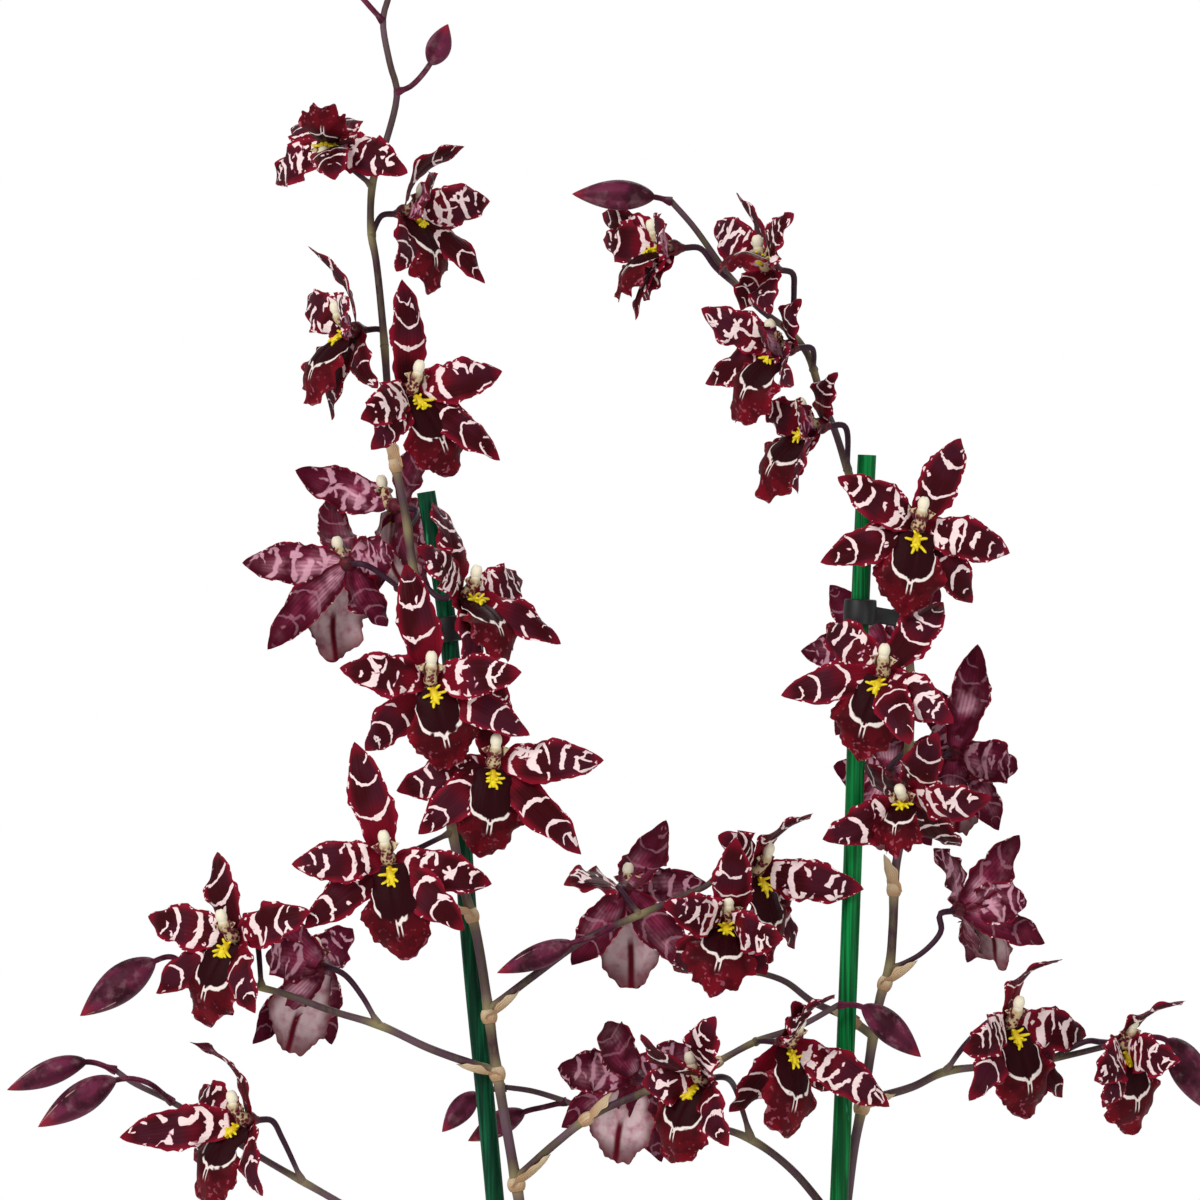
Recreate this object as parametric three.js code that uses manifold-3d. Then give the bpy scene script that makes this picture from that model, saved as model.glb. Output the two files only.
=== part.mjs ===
// Potted odontoglossum orchid: two tall branched flower spikes in a plain plastic pot,
// each spike tied by a clip to a coated cane.
// Millimetres, +Z up, the front faces -Y. The origin is the centre of the pot's flat underside.
import * as THREE from "three";
import { mergeGeometries, mergeVertices } from "three/addons/utils/BufferGeometryUtils.js";
import Module from "manifold-3d";

const wasm = await Module();
wasm.setup();

// Clearance between pieces that touch.
const GAP = 0.3;

// The pot, its potting mix and what stands in it.
const POT = {
  height: 112,
  topRadius: 59,
  baseRadius: 44,
  wall: 2.2,
  floor: 3,
  rimHeight: 10,
  rimOut: 2.2,
  sides: 24,
  drains: 6,
  drainRadius: 4,
  drainCircle: 31,
};
const MIX = { top: 99, sides: 14, rings: 3, relief: 5, play: 0.8 };
const BULB = { height: 78, width: 36, thickness: 22, sink: 11, slim: 0.22, sides: 7, rings: 5 };
const RHIZOME = { radius: 5, rise: 3, sides: 5 };
const LEAF = {
  width: 31,
  thickness: 2.2,
  across: 2,
  along: 7,
  seat: 4,
  lean: 0.6,
  arch: 0.16,
  cup: -2.5,
  wave: 0.8,
  waves: 1.5,
};
const STAKE = { radius: 3.25, sides: 8, steps: 8, foot: 14 };
const CLIP = {
  height: 9,
  wall: 1.7,
  barWidth: 4.2,
  barHeight: 5.4,
  stakePlay: 0.7,
  stemPlay: 1,
  sides: 8,
};

// The spikes.
const STEM = { footRadius: 2.6, tipRadius: 1.2, sides: 5, steps: 22, holePlay: 0.8 };
const BRANCH = { rootRadius: 1.7, tipRadius: 1.1, sides: 4, steps: 6 };
const PEDICEL = { rootRadius: 0.9, tipRadius: 1.2, sides: 3, steps: 3, approach: 6 };
const BUD = { radius: 5.6, sides: 5, steps: 5 };
const BRACT = { radius: 3, sides: 4 };

// An open bloom.
const BLOOM = {
  hubLength: 4.5,
  hubRadius: 3,
  claw: 1.5,
  dorsal: { length: 37, width: 14 },
  petal: { length: 34, width: 16 },
  sepal: { length: 36, width: 13 },
  lip: { length: 30, width: 24 },
  twist: 30,
  columnRise: 7.5,
  columnReach: 7,
  columnRadius: 2,
  columnSides: 4,
};
const TEPAL = {
  thickness: 1.5, across: 2, along: 4, bow: 3, cup: 0.8, wave: 0.9, waves: 2.6, ragged: 0.12,
};
const LIP = {
  thickness: 1.8, across: 2, along: 4, bow: 4, cup: 3, wave: 1.2, waves: 2.2, ragged: 0.1,
};
const PRONG = { along: 0.25, root: 2.2, apart: 1, length: 3.6, splay: 1.2 };

// The view that the places below are read from: a level camera in front, 1200 pixels square.
const VIEW = { middle: 600, pixel: 0.35, potAxis: 685, height: 570, distance: 2200 };

const DEGREE = Math.PI / 180;
const UP = new THREE.Vector3(0, 0, 1);

// Materials.
const finish = (color, roughness, metalness = 0) =>
  new THREE.MeshStandardMaterial({ color, roughness, metalness });
const POT_PLASTIC = { color: "#2b2c2e", roughness: 0.5 };
const MIX_BARK = { color: "#5b3d28", roughness: 0.95 };
const BULB_GREEN = { color: "#6f8a3a", roughness: 0.55 };
const LEAF_GREEN = { color: "#3f6b2c", roughness: 0.5 };
const STAKE_GREEN = { color: "#0e5a34", roughness: 0.35 };
const CLIP_BLACK = { color: "#101012", roughness: 0.45 };
const SPIKE_BROWN = { color: "#6a4a48", roughness: 0.6 };
const BLOOM_MAROON = { color: "#5a0f1c", roughness: 0.55 };

// A point from a photo pixel, at a depth in mm behind the plane of the stems.
function at([u, v], depth = 0) {
  const scale = (VIEW.pixel * (VIEW.distance + depth)) / VIEW.distance;
  const middle = (VIEW.middle - VIEW.potAxis) * VIEW.pixel;
  const x = middle + (u - VIEW.middle) * scale;
  const z = VIEW.height + (VIEW.middle - v) * scale;
  return new THREE.Vector3(x, depth, z);
}

// A seeded draw between 0 and 1.
function draws(seed) {
  let state = seed;
  return () => {
    state = (state * 1664525 + 1013904223) % 4294967296;
    return state / 4294967296;
  };
}

// A closed solid from a geometry whose seams are merged and whose collapsed faces are dropped.
function solid(geometry) {
  const bare = new THREE.BufferGeometry();
  bare.setAttribute("position", geometry.getAttribute("position"));
  if (geometry.index) bare.setIndex(geometry.index);
  const merged = mergeVertices(bare, 1e-3);
  const corners = merged.index.array;
  const kept = [];
  for (let i = 0; i < corners.length; i += 3) {
    const [a, b, c] = [corners[i], corners[i + 1], corners[i + 2]];
    if (a !== b && b !== c && c !== a) kept.push(a, b, c);
  }
  const vertProperties = Float32Array.from(merged.getAttribute("position").array);
  const triVerts = Uint32Array.from(kept);
  return new wasm.Manifold(new wasm.Mesh({ numProp: 3, vertProperties, triVerts }));
}

const fuse = (solids) => solids.reduce((whole, piece) => whole.add(piece));

// A named mesh from a solid.
function meshOf(name, body, { color, roughness, metalness }) {
  const shape = body.getMesh();
  const geometry = new THREE.BufferGeometry();
  const positions = new THREE.BufferAttribute(Float32Array.from(shape.vertProperties), 3);
  geometry.setAttribute("position", positions);
  geometry.setIndex(new THREE.BufferAttribute(Uint32Array.from(shape.triVerts), 1));
  geometry.computeVertexNormals();
  const mesh = new THREE.Mesh(geometry, finish(color, roughness, metalness));
  mesh.name = name;
  return mesh;
}

// A smooth curve through points.
const through = (points) => new THREE.CatmullRomCurve3(points, false, "centripetal");

// Stations along a curve: its share of the length, place and direction. A warp moves them.
function stations(curve, steps, warp = (t) => t) {
  return Array.from({ length: steps + 1 }, (_, step) => {
    const t = warp(step / steps);
    return { t, place: curve.getPointAt(t), tangent: curve.getTangentAt(t) };
  });
}

// The stations of a straight line.
const straight = (from, to) => stations(new THREE.LineCurve3(from, to), 1);

// A round rod through stations. The radius runs from start to end, times the swell.
function rod(line, { start, end, sides, swell = () => 1 }) {
  const steps = line.length - 1;
  const first = line[0].tangent;
  let normal = new THREE.Vector3(first.z, first.x, first.y);
  const rings = line.map(({ t, place, tangent }) => {
    const across = new THREE.Vector3().crossVectors(normal, tangent).normalize();
    normal = new THREE.Vector3().crossVectors(tangent, across);
    return { place, normal, across, radius: THREE.MathUtils.lerp(start, end, t) * swell(t) };
  });
  const geometry = new THREE.CylinderGeometry(1, 1, 1, sides, steps);
  const position = geometry.getAttribute("position");
  for (let i = 0; i < position.count; i += 1) {
    const ring = rings[Math.round((position.getY(i) + 0.5) * steps)];
    const place = ring.place.clone();
    place.addScaledVector(ring.normal, position.getX(i) * ring.radius);
    place.addScaledVector(ring.across, position.getZ(i) * ring.radius);
    position.setXYZ(i, place.x, place.y, place.z);
  }
  return solid(geometry);
}

// A thin blade from root to tip, lens-shaped in section, with waved margins.
function blade(form) {
  const { root, tip, facing, width, thickness, outline, across, along } = form;
  const { bow = 0, cup = 0, twist = 0, wave = 0, waves = 2, ragged = 0, phase = 0 } = form;
  const run = new THREE.Vector3().subVectors(tip, root);
  const axis = run.clone().normalize();
  const side = new THREE.Vector3().crossVectors(axis, facing).normalize();
  const normal = new THREE.Vector3().crossVectors(side, axis);
  const sheet = (face) => {
    const geometry = new THREE.PlaneGeometry(1, 1, across, along);
    const position = geometry.getAttribute("position");
    for (let i = 0; i < position.count; i += 1) {
      const s = position.getX(i) * 2;
      const t = position.getY(i) + 0.5;
      const turn = twist * t * DEGREE;
      const outwards = side.clone().multiplyScalar(Math.cos(turn));
      outwards.addScaledVector(normal, Math.sin(turn));
      const lift = normal.clone().multiplyScalar(Math.cos(turn));
      lift.addScaledVector(side, -Math.sin(turn));
      const ripple = Math.sin((waves * t + 0.25 * s) * 2 * Math.PI + phase);
      const edge = Math.abs(s) > 0.9 ? 1 + ragged * ripple : 1;
      const half = (width / 2) * outline(t) * edge;
      const free = Math.sin(Math.PI * t);
      const height = -cup * s * s * free + wave * ripple * s * s * free;
      const skin = (thickness / 2) * (1 - s * s) * Math.min(1, 6 * t, 6 * (1 - t));
      const place = root.clone().addScaledVector(run, t);
      place.addScaledVector(normal, bow * free);
      place.addScaledVector(outwards, s * half);
      place.addScaledVector(lift, height + face * skin);
      position.setXYZ(i, place.x, place.y, place.z);
    }
    return geometry;
  };
  const front = sheet(1);
  const back = sheet(-1);
  back.setIndex(Array.from(back.index.array).reverse());
  return solid(mergeGeometries([front, back]));
}

// Outlines: half-width along a blade, 1 at the widest.
const lance = (t) => 0.2 + 0.8 * Math.sin(Math.PI * t ** 1.15);
const pointed = (t) => (t < 0.01 || t > 0.99 ? 0 : lance(t) * Math.min(1, 3.2 * (1 - t)));
const strap = (t) => (t > 0.995 ? 0 : Math.min(1, 0.2 + 3 * t) * Math.min(1, 3 * (1 - t)) ** 0.7);
const fan = (t) => (t < 0.01 ? 0 : 0.36 + 0.64 * Math.sin(Math.PI * (1.06 * t - 0.08)) ** 0.8);

// Where each cane runs, from the mix upwards.
const STAKES = {
  left: { depth: 3.5, foot: -37.5, path: [[495, 1200], [469, 930], [448, 629], [426, 492]] },
  right: { depth: -3, foot: 38, path: [[839, 1200], [852, 880], [860, 612], [867, 455]] },
};

// Where each spike runs: from the mix (mm), then along the photo with a depth.
const SPIKES = {
  left: {
    foot: [[-20, -6, 66], [-23, -6, 100], [-36, -6, 220]],
    path: [
      [519, 1200, -5], [497, 1072, -5], [477, 937, -5], [462, 880, -5], [440, 760, -5],
      [424, 640, -4], [412, 560, -2], [405, 512, 0], [393, 450, 0], [383, 327, 0],
      [376, 260, 0], [371, 231, 0], [373, 181, 0], [385, 145, 0], [397, 92, 0],
      [390, 64, 0], [383, 20, 0], [389, -4, 0], [397, -34, -1], [398, -50, -2],
    ],
  },
  right: {
    foot: [[26, 4, 66], [29, 5, 100], [40, 6, 220]],
    path: [
      [847, 1200, 6], [854, 1147, 6], [863, 1101, 6], [880, 999, 6], [889, 970, 6],
      [893, 926, 6], [895, 873, 6], [902, 830, 6], [907, 770, 6], [911, 700, 6],
      [905, 620, 6], [886, 556, 7], [862, 505, 7], [849, 474, 5], [835, 431, 3],
      [822, 399, 1], [808, 355, 0], [790, 332, 0], [760, 309, 0], [730, 277, 0],
      [693, 226, 0], [670, 200, -1],
    ],
  },
};

// Side branches: the spike that each grows from and its way through the photo, with depths.
const BRANCHES = {
  leftLow: {
    spike: "left",
    path: [[540, 1334, -5], [440, 1262, -8], [335, 1200, -8], [262, 1158, -4],
      [172, 1102, -4], [132, 1082, -6], [114, 1069, -7]],
  },
  leftHigh: {
    spike: "left",
    path: [[497, 1072, -5], [431, 1049, -8], [381, 1026, -9], [332, 1011, -10],
      [285, 994, -10], [255, 986, -9], [214, 974, 0], [184, 966, 4]],
  },
  centreHigh: {
    spike: "left",
    path: [[484, 1011, -5], [532, 977, -8], [587, 938, -10], [630, 919, -10],
      [685, 895, -8], [706, 886, -8], [722, 872, -7], [737, 866, -6]],
  },
  centreLow: {
    spike: "left",
    path: [[513, 1180, -5], [556, 1143, -10], [593, 1115, -12], [654, 1088, -13],
      [709, 1066, -13], [755, 1042, -12], [800, 1026, -12], [840, 1004, -13]],
  },
  middleHigh: {
    spike: "right",
    path: [[876, 1036, 6], [844, 1016, 7], [813, 1002, 6], [786, 982, 4], [764, 974, 2],
      [746, 971, 0]],
  },
  middleLow: {
    spike: "right",
    path: [[842, 1232, 6], [792, 1170, 8], [752, 1140, 8], [716, 1127, 16], [679, 1120, 23],
      [636, 1112, 27], [587, 1109, 28], [562, 1100, 28], [532, 1091, 27], [504, 1087, 26]],
  },
  rightLow: {
    spike: "right",
    path: [[864, 1101, 6], [912, 1087, 9], [944, 1072, 10], [990, 1066, 10],
      [1050, 1059, 9], [1103, 1047, 8], [1137, 1038, 8]],
  },
};

// Buds: the end of the spike or branch that each hangs from, and its tip.
const BUDS = [
  { spike: "left", stalk: [[398, -48, -2], [399, -60, -2]], tip: [404, -90, -2], size: 0.62 },
  { spike: "left", stalk: [[384, 21, 0], [366, 2, -1], [350, -18, -2]], tip: [333, -52, -2], size: 0.7 },
  { spike: "left", stalk: [[397, 92, 0], [411, 86, -1], [430, 64, -2]], tip: [448, 24, -2], size: 0.86 },
  { spike: "left", stalk: [[186, 967, 4], [172, 957, 5], [155, 961, 4]], tip: [80, 1016, 2], size: 1.25 },
  { spike: "left", stalk: [[116, 1070, -7], [86, 1062, -10]], tip: [7, 1090, -10], size: 0.9 },
  {
    spike: "left", stalk: [[172, 1102, -4], [146, 1082, -12], [116, 1080, -16]],
    tip: [38, 1127, -17], size: 1.1,
  },
  {
    spike: "left", stalk: [[612, 926, -10], [596, 936, -14], [572, 943, -16]],
    tip: [497, 973, -16], size: 0.86,
  },
  { spike: "left", stalk: [[838, 1005, -13], [862, 1007, -14]], tip: [921, 1057, -16], size: 1.05 },
  { spike: "right", stalk: [[672, 201, -1], [654, 197, -2]], tip: [572, 194, -4], size: 1.05 },
  { spike: "right", stalk: [[506, 1087, 26], [478, 1094, 26]], tip: [442, 1132, 24], size: 0.85 },
  {
    spike: "right", stalk: [[566, 1102, 28], [544, 1107, 31], [524, 1112, 32]],
    tip: [468, 1141, 34], size: 0.9,
  },
  { spike: "right", stalk: [[1135, 1038, 8], [1166, 1040, 6]], tip: [1211, 1112, 4], size: 1.25 },
];

// Papery bracts at the nodes: where each starts on its spike and where its tip lies.
const BRACTS = [
  { spike: "left", base: [499, 1074, -5], tip: [456, 1064, -8], size: 1 },
  { spike: "left", base: [480, 1018, -5], tip: [520, 990, -8], size: 1 },
  { spike: "left", base: [510, 1186, -5], tip: [551, 1154, -10], size: 1.1 },
  { spike: "left", base: [472, 916, -5], tip: [434, 896, -8], size: 0.9 },
  { spike: "left", base: [396, 466, 0], tip: [384, 428, -2], size: 0.8 },
  { spike: "left", base: [586, 1120, -12], tip: [612, 1092, -14], size: 0.8 },
  { spike: "left", base: [716, 1064, -13], tip: [702, 1086, -15], size: 0.7 },
  { spike: "right", base: [896, 890, 6], tip: [884, 854, 2], size: 0.9 },
  { spike: "right", base: [884, 984, 6], tip: [918, 960, 2], size: 0.9 },
  { spike: "right", base: [862, 1108, 6], tip: [896, 1094, 3], size: 1 },
  { spike: "right", base: [856, 1022, 7], tip: [828, 1008, 6], size: 0.7 },
];

// Open blooms. Each has the spike that carries it, where its pedicel leaves and passes, the
// seat where the pedicel ends with its depth, the way its face looks (yaw to the photo's
// right, pitch upwards, roll clockwise), and the tips of its tepals where the photo shows
// them, a third number being a depth behind the seat.
const BLOOMS = [
  {
    name: "bloom_left_01", spike: "left", stalk: [[374, 186, 0]], seat: [334, 150, -4],
    yaw: -15, pitch: 20, roll: 180,
    dorsal: [334, 176], petalRight: [272, 183], petalLeft: [406, 171],
    sepalRight: [294, 122], sepalLeft: [348, 116], lip: [322, 112],
  },
  {
    name: "bloom_left_02", spike: "left", stalk: [[372, 236, 0]], seat: [395, 214, -3],
    yaw: 55, pitch: 5, roll: 5,
    dorsal: [468, 149], petalRight: [492, 201], petalLeft: [432, 176],
    sepalRight: [487, 281], sepalLeft: [400, 270], lip: [437, 287],
  },
  {
    name: "bloom_left_03", spike: "left", stalk: [[384, 346, 0]], seat: [366, 330, -2],
    yaw: -60, pitch: 0, roll: 0,
    dorsal: [304, 248], petalLeft: [304, 296], petalRight: [345, 300],
    sepalLeft: [328, 420, 12], sepalRight: [374, 388, -14], lip: [304, 399, -6],
  },
  {
    name: "bloom_left_04", spike: "left", stalk: [[390, 420, 0]], seat: [402, 392, -12],
    yaw: 30, pitch: 5, roll: 5,
    dorsal: [404, 279], petalRight: [503, 371], petalLeft: [364, 418],
    sepalRight: [501, 459], sepalLeft: [374, 448], lip: [453, 472],
  },
  {
    name: "bloom_left_05", spike: "left", stalk: [[408, 604, -4], [372, 568, -4]],
    seat: [353, 564, 0], yaw: -150, pitch: 0, roll: 0,
    dorsal: [330, 496], petalRight: [242, 563, -2], petalLeft: [396, 552, -12],
    sepalRight: [266, 649, -8], sepalLeft: [386, 628, -4], lip: [332, 656, 12],
  },
  {
    name: "bloom_left_06", spike: "left", stalk: [[414, 572, -2]], seat: [452, 596, -12],
    yaw: 50, pitch: 5, roll: 0,
    dorsal: [435, 500], petalRight: [526, 580], petalLeft: [420, 548],
    sepalRight: [562, 642], sepalLeft: [470, 668], lip: [508, 655],
  },
  {
    name: "bloom_left_07", spike: "left", stalk: [[430, 690, -5]], seat: [430, 682, -28],
    yaw: 4, pitch: 5, roll: 0,
    dorsal: [406, 563], petalRight: [520, 672], petalLeft: [341, 668],
    sepalRight: [530, 735], sepalLeft: [364, 752], lip: [452, 767],
  },
  {
    name: "bloom_left_08", spike: "left", stalk: [[441, 764, -5]], seat: [490, 764, -18],
    yaw: 12, pitch: 5, roll: 0,
    dorsal: [492, 668, 5], petalRight: [604, 760], petalLeft: [396, 791],
    sepalRight: [582, 854], sepalLeft: [419, 834], lip: [485, 855],
  },
  {
    name: "bloom_left_09", spike: "left", stalk: [[452, 832, -5]], seat: [390, 860, -26],
    yaw: -4, pitch: 5, roll: -8,
    dorsal: [354, 742], petalRight: [492, 884], petalLeft: [292, 864],
    sepalRight: [464, 930], sepalLeft: [304, 928], lip: [406, 958],
  },
  {
    name: "bloom_left_10", spike: "left", stalk: [[408, 530, -1]], seat: [404, 508, 16],
    yaw: -130, pitch: 10, roll: 0,
    dorsal: [430, 440, 8], petalRight: [295, 471], petalLeft: [446, 540],
    sepalRight: [376, 588, 14], sepalLeft: [428, 592], lip: [400, 590],
  },
  {
    name: "bloom_branch_01", spike: "left", stalk: [[262, 988, -9]], seat: [244, 936, -10],
    yaw: -35, pitch: 0, roll: -5,
    dorsal: [214, 851], petalLeft: [146, 917], petalRight: [308, 912],
    sepalLeft: [154, 993], sepalRight: [252, 1012], lip: [199, 1021],
  },
  {
    name: "bloom_branch_02", spike: "left", stalk: [[378, 1026, -9], [362, 996, -6], [345, 975, -4]],
    seat: [326, 967, 0], yaw: -160, pitch: 0, roll: 0,
    dorsal: [259, 910], petalRight: [262, 955], petalLeft: [350, 930, 20],
    sepalRight: [252, 1043], sepalLeft: [330, 1042], lip: [286, 1050],
  },
  {
    name: "bloom_branch_03", spike: "left", stalk: [[300, 1180, -11], [282, 1138, -12]],
    seat: [258, 1120, -20], yaw: -50, pitch: 5, roll: 0,
    dorsal: [186, 1045], petalLeft: [196, 1090], petalRight: [119, 1137],
    sepalLeft: [190, 1160], sepalRight: [259, 1195], lip: [199, 1200],
  },
  {
    name: "bloom_branch_04", spike: "left", stalk: [[640, 916, -10]], seat: [622, 889, -2],
    yaw: 170, pitch: -5, roll: 0,
    dorsal: [666, 823], petalLeft: [566, 882], petalRight: [705, 884],
    sepalLeft: [572, 966, -6], sepalRight: [693, 970, -6], lip: [632, 984, 9],
  },
  {
    name: "bloom_branch_05", spike: "left", stalk: [[722, 872, -7]], seat: [742, 870, -6],
    yaw: 50, pitch: 0, roll: 0,
    dorsal: [816, 817], petalRight: [864, 890], petalLeft: [722, 836],
    sepalRight: [798, 949], sepalLeft: [714, 935, 14], lip: [771, 961],
  },
  {
    name: "bloom_branch_06", spike: "right", stalk: [[747, 971, 0], [742, 950, -4]],
    seat: [728, 920, -18], yaw: 0, pitch: 0, roll: 0,
    dorsal: [736, 840], petalLeft: [666, 905], petalRight: [780, 940],
    sepalLeft: [672, 973], sepalRight: [766, 974, -4], lip: [712, 989],
  },
  {
    name: "bloom_branch_07", spike: "left", stalk: [[756, 1042, -12]], seat: [776, 1042, -22],
    yaw: 40, pitch: 0, roll: 5,
    dorsal: [838, 998], petalRight: [891, 1106, 4], petalLeft: [796, 1004, -20],
    sepalRight: [834, 1090, 14], sepalLeft: [731, 1114, 2], lip: [788, 1134, -12],
  },
  {
    name: "bloom_branch_08", spike: "left", stalk: [[656, 1088, -13]], seat: [639, 1078, -2],
    yaw: -165, pitch: 0, roll: 0,
    dorsal: [602, 1021], petalRight: [555, 1068], petalLeft: [700, 1050],
    sepalRight: [562, 1126, 8], sepalLeft: [660, 1160], lip: [614, 1159],
  },
  {
    name: "bloom_branch_09", spike: "right", stalk: [[751, 1140, 8], [743, 1112, 6], [736, 1090, 2]],
    seat: [712, 1078, -24], yaw: -40, pitch: 0, roll: 0,
    dorsal: [640, 1038], petalLeft: [642, 1084, -3], petalRight: [712, 1018],
    sepalLeft: [660, 1140], sepalRight: [725, 1145], lip: [668, 1160],
  },
  {
    name: "bloom_branch_10", spike: "right", stalk: [[946, 1072, 10], [965, 1045, 4]],
    seat: [1000, 1022, -4], yaw: 30, pitch: 0, roll: 0,
    dorsal: [1066, 963], petalRight: [1089, 1036], petalLeft: [966, 1050],
    sepalRight: [1065, 1098], sepalLeft: [972, 1100], lip: [1031, 1115],
  },
  {
    name: "bloom_branch_11", spike: "right", stalk: [[1050, 1059, 9], [1088, 1041, 4]],
    seat: [1111, 1043, 0], yaw: 35, pitch: 0, roll: 0,
    dorsal: [1188, 1005], petalRight: [1178, 1062, -15], petalLeft: [1098, 1080],
    sepalRight: [1150, 1110], sepalLeft: [1106, 1106], lip: [1135, 1132],
  },
  {
    name: "bloom_right_01", spike: "right", stalk: [[740, 290, 0], [716, 268, -4]],
    seat: [684, 248, -8], yaw: -70, pitch: 0, roll: 0,
    dorsal: [599, 214], petalLeft: [600, 240], petalRight: [660, 222],
    sepalLeft: [640, 300, 14], sepalRight: [632, 318, -10], lip: [614, 292, -4],
  },
  {
    name: "bloom_right_02", spike: "right", stalk: [[792, 333, 0], [794, 290, -2]],
    seat: [780, 270, -8], yaw: -50, pitch: 10, roll: 0,
    dorsal: [732, 194], petalLeft: [714, 220], petalRight: [790, 214],
    sepalLeft: [738, 308, 2], sepalRight: [768, 312, -12], lip: [726, 262, -20],
  },
  {
    name: "bloom_right_03", spike: "right", stalk: [[813, 370, 0]], seat: [798, 348, -10],
    yaw: -55, pitch: 0, roll: 0,
    dorsal: [798, 300, -14], petalLeft: [700, 310, 2], petalRight: [760, 330, -26],
    sepalLeft: [703, 383], sepalRight: [790, 384], lip: [734, 419],
  },
  {
    name: "bloom_right_04", spike: "right", stalk: [[848, 470, 5]], seat: [830, 426, -8],
    yaw: -60, pitch: 0, roll: 0,
    dorsal: [834, 372, -6], petalLeft: [762, 406, 4], petalRight: [800, 412, -26],
    sepalLeft: [763, 481], sepalRight: [794, 492], lip: [758, 494],
  },
  {
    name: "bloom_right_05", spike: "right", stalk: [[880, 546, 7]], seat: [916, 528, -16],
    yaw: 4, pitch: 5, roll: 10,
    dorsal: [962, 437], petalRight: [1011, 553], petalLeft: [839, 477],
    sepalRight: [974, 604], sepalLeft: [821, 562], lip: [904, 613],
  },
  {
    name: "bloom_right_06", spike: "right", stalk: [[911, 700, 6]], seat: [886, 674, -20],
    yaw: -12, pitch: 5, roll: 10,
    dorsal: [944, 600], petalRight: [952, 722], petalLeft: [824, 623],
    sepalRight: [908, 742], sepalLeft: [781, 695], lip: [856, 756],
  },
  {
    name: "bloom_right_07", spike: "right", stalk: [[905, 796, 6]], seat: [912, 790, -8],
    yaw: -20, pitch: -30, roll: 0,
    dorsal: [936, 735], petalRight: [990, 800], petalLeft: [824, 841],
    sepalRight: [960, 850], sepalLeft: [860, 760], lip: [892, 850, -14],
  },
  {
    name: "bloom_right_08", spike: "right", stalk: [[907, 780, 6], [930, 764, 6]],
    seat: [951, 754, 10], yaw: 160, pitch: 0, roll: 0,
    dorsal: [979, 644, -4], petalLeft: [1021, 769], petalRight: [935, 690, 16],
    sepalLeft: [1000, 830, -4], sepalRight: [948, 806, -4], lip: [958, 830, 12],
  },
  {
    name: "bloom_right_09", spike: "right", stalk: [[889, 970, 6], [922, 953, 4], [941, 931, 4]],
    seat: [952, 911, 6], yaw: 130, pitch: 10, roll: 0,
    dorsal: [1022, 835], petalRight: [937, 849], petalLeft: [1030, 900],
    sepalRight: [970, 960], sepalLeft: [1047, 942], lip: [1000, 960],
  },
  {
    name: "bloom_right_10", spike: "right", stalk: [[910, 678, 6]], seat: [884, 656, 18],
    yaw: 175, pitch: 0, roll: 0,
    dorsal: [830, 585, 2], petalLeft: [801, 651, 4], petalRight: [940, 590, 4],
    sepalLeft: [836, 735, 4], sepalRight: [900, 738, -4], lip: [872, 735, 8],
  },
  {
    name: "bloom_right_11", spike: "right", stalk: [[905, 748, 6]], seat: [890, 768, 32],
    yaw: -170, pitch: -20, roll: 0,
    dorsal: [890, 690, 16], petalLeft: [960, 740, 16], petalRight: [834, 768, 6],
    sepalLeft: [930, 846, 2], sepalRight: [858, 846, 2], lip: [890, 848, 8],
  },
];

// The line of a cane.
function stakeLine({ depth, foot, path }) {
  const feet = new THREE.Vector3(foot, depth, STAKE.foot);
  return stations(through([feet, ...path.map((pixel) => at(pixel, depth))]), STAKE.steps);
}

const placed = (path) => path.map(([u, v, depth]) => at([u, v], depth));

// The line of a spike's main stem.
function stemLine({ foot, path }) {
  const feet = foot.map((point) => new THREE.Vector3(...point));
  return stations(through([...feet, ...placed(path)]), STEM.steps);
}

// The place nearest to a point on the straight runs between stations.
function nearest(line, point) {
  let best = { reach: Infinity };
  for (let i = 1; i < line.length; i += 1) {
    const run = new THREE.Line3(line[i - 1].place, line[i].place);
    const share = run.closestPointToPointParameter(point, true);
    const place = run.at(share, new THREE.Vector3());
    const reach = place.distanceTo(point);
    const t = THREE.MathUtils.lerp(line[i - 1].t, line[i].t, share);
    const direction = run.delta(new THREE.Vector3()).normalize();
    if (reach < best.reach) best = { reach, place, direction, t };
  }
  return best;
}

// A bloom's own axes: the way it faces, its up and its right.
function bloomAxes({ yaw, pitch, roll }) {
  const [a, b, c] = [yaw * DEGREE, pitch * DEGREE, roll * DEGREE];
  const flat = Math.cos(b);
  const face = new THREE.Vector3(Math.sin(a) * flat, -Math.cos(a) * flat, Math.sin(b));
  const level = new THREE.Vector3().crossVectors(UP, face).normalize();
  const rise = new THREE.Vector3().crossVectors(face, level);
  const up = rise.clone().multiplyScalar(Math.cos(c)).addScaledVector(level, Math.sin(c));
  const right = level.clone().multiplyScalar(Math.cos(c)).addScaledVector(rise, -Math.sin(c));
  return { face, up, right };
}

// How far round from the bloom's up each tepal points, and how far forward it leans.
const SPREAD = {
  dorsal: { form: BLOOM.dorsal, round: 0, lean: 0, back: -1.4 },
  sepalRight: { form: BLOOM.sepal, round: 132, lean: -4, back: -1.4 },
  sepalLeft: { form: BLOOM.sepal, round: -132, lean: -4, back: -1.4 },
  petalRight: { form: BLOOM.petal, round: 66, lean: 8, back: 0.6 },
  petalLeft: { form: BLOOM.petal, round: -66, lean: 8, back: 0.6 },
  lip: { form: BLOOM.lip, round: 180, lean: 26, back: 1.8 },
};

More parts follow.
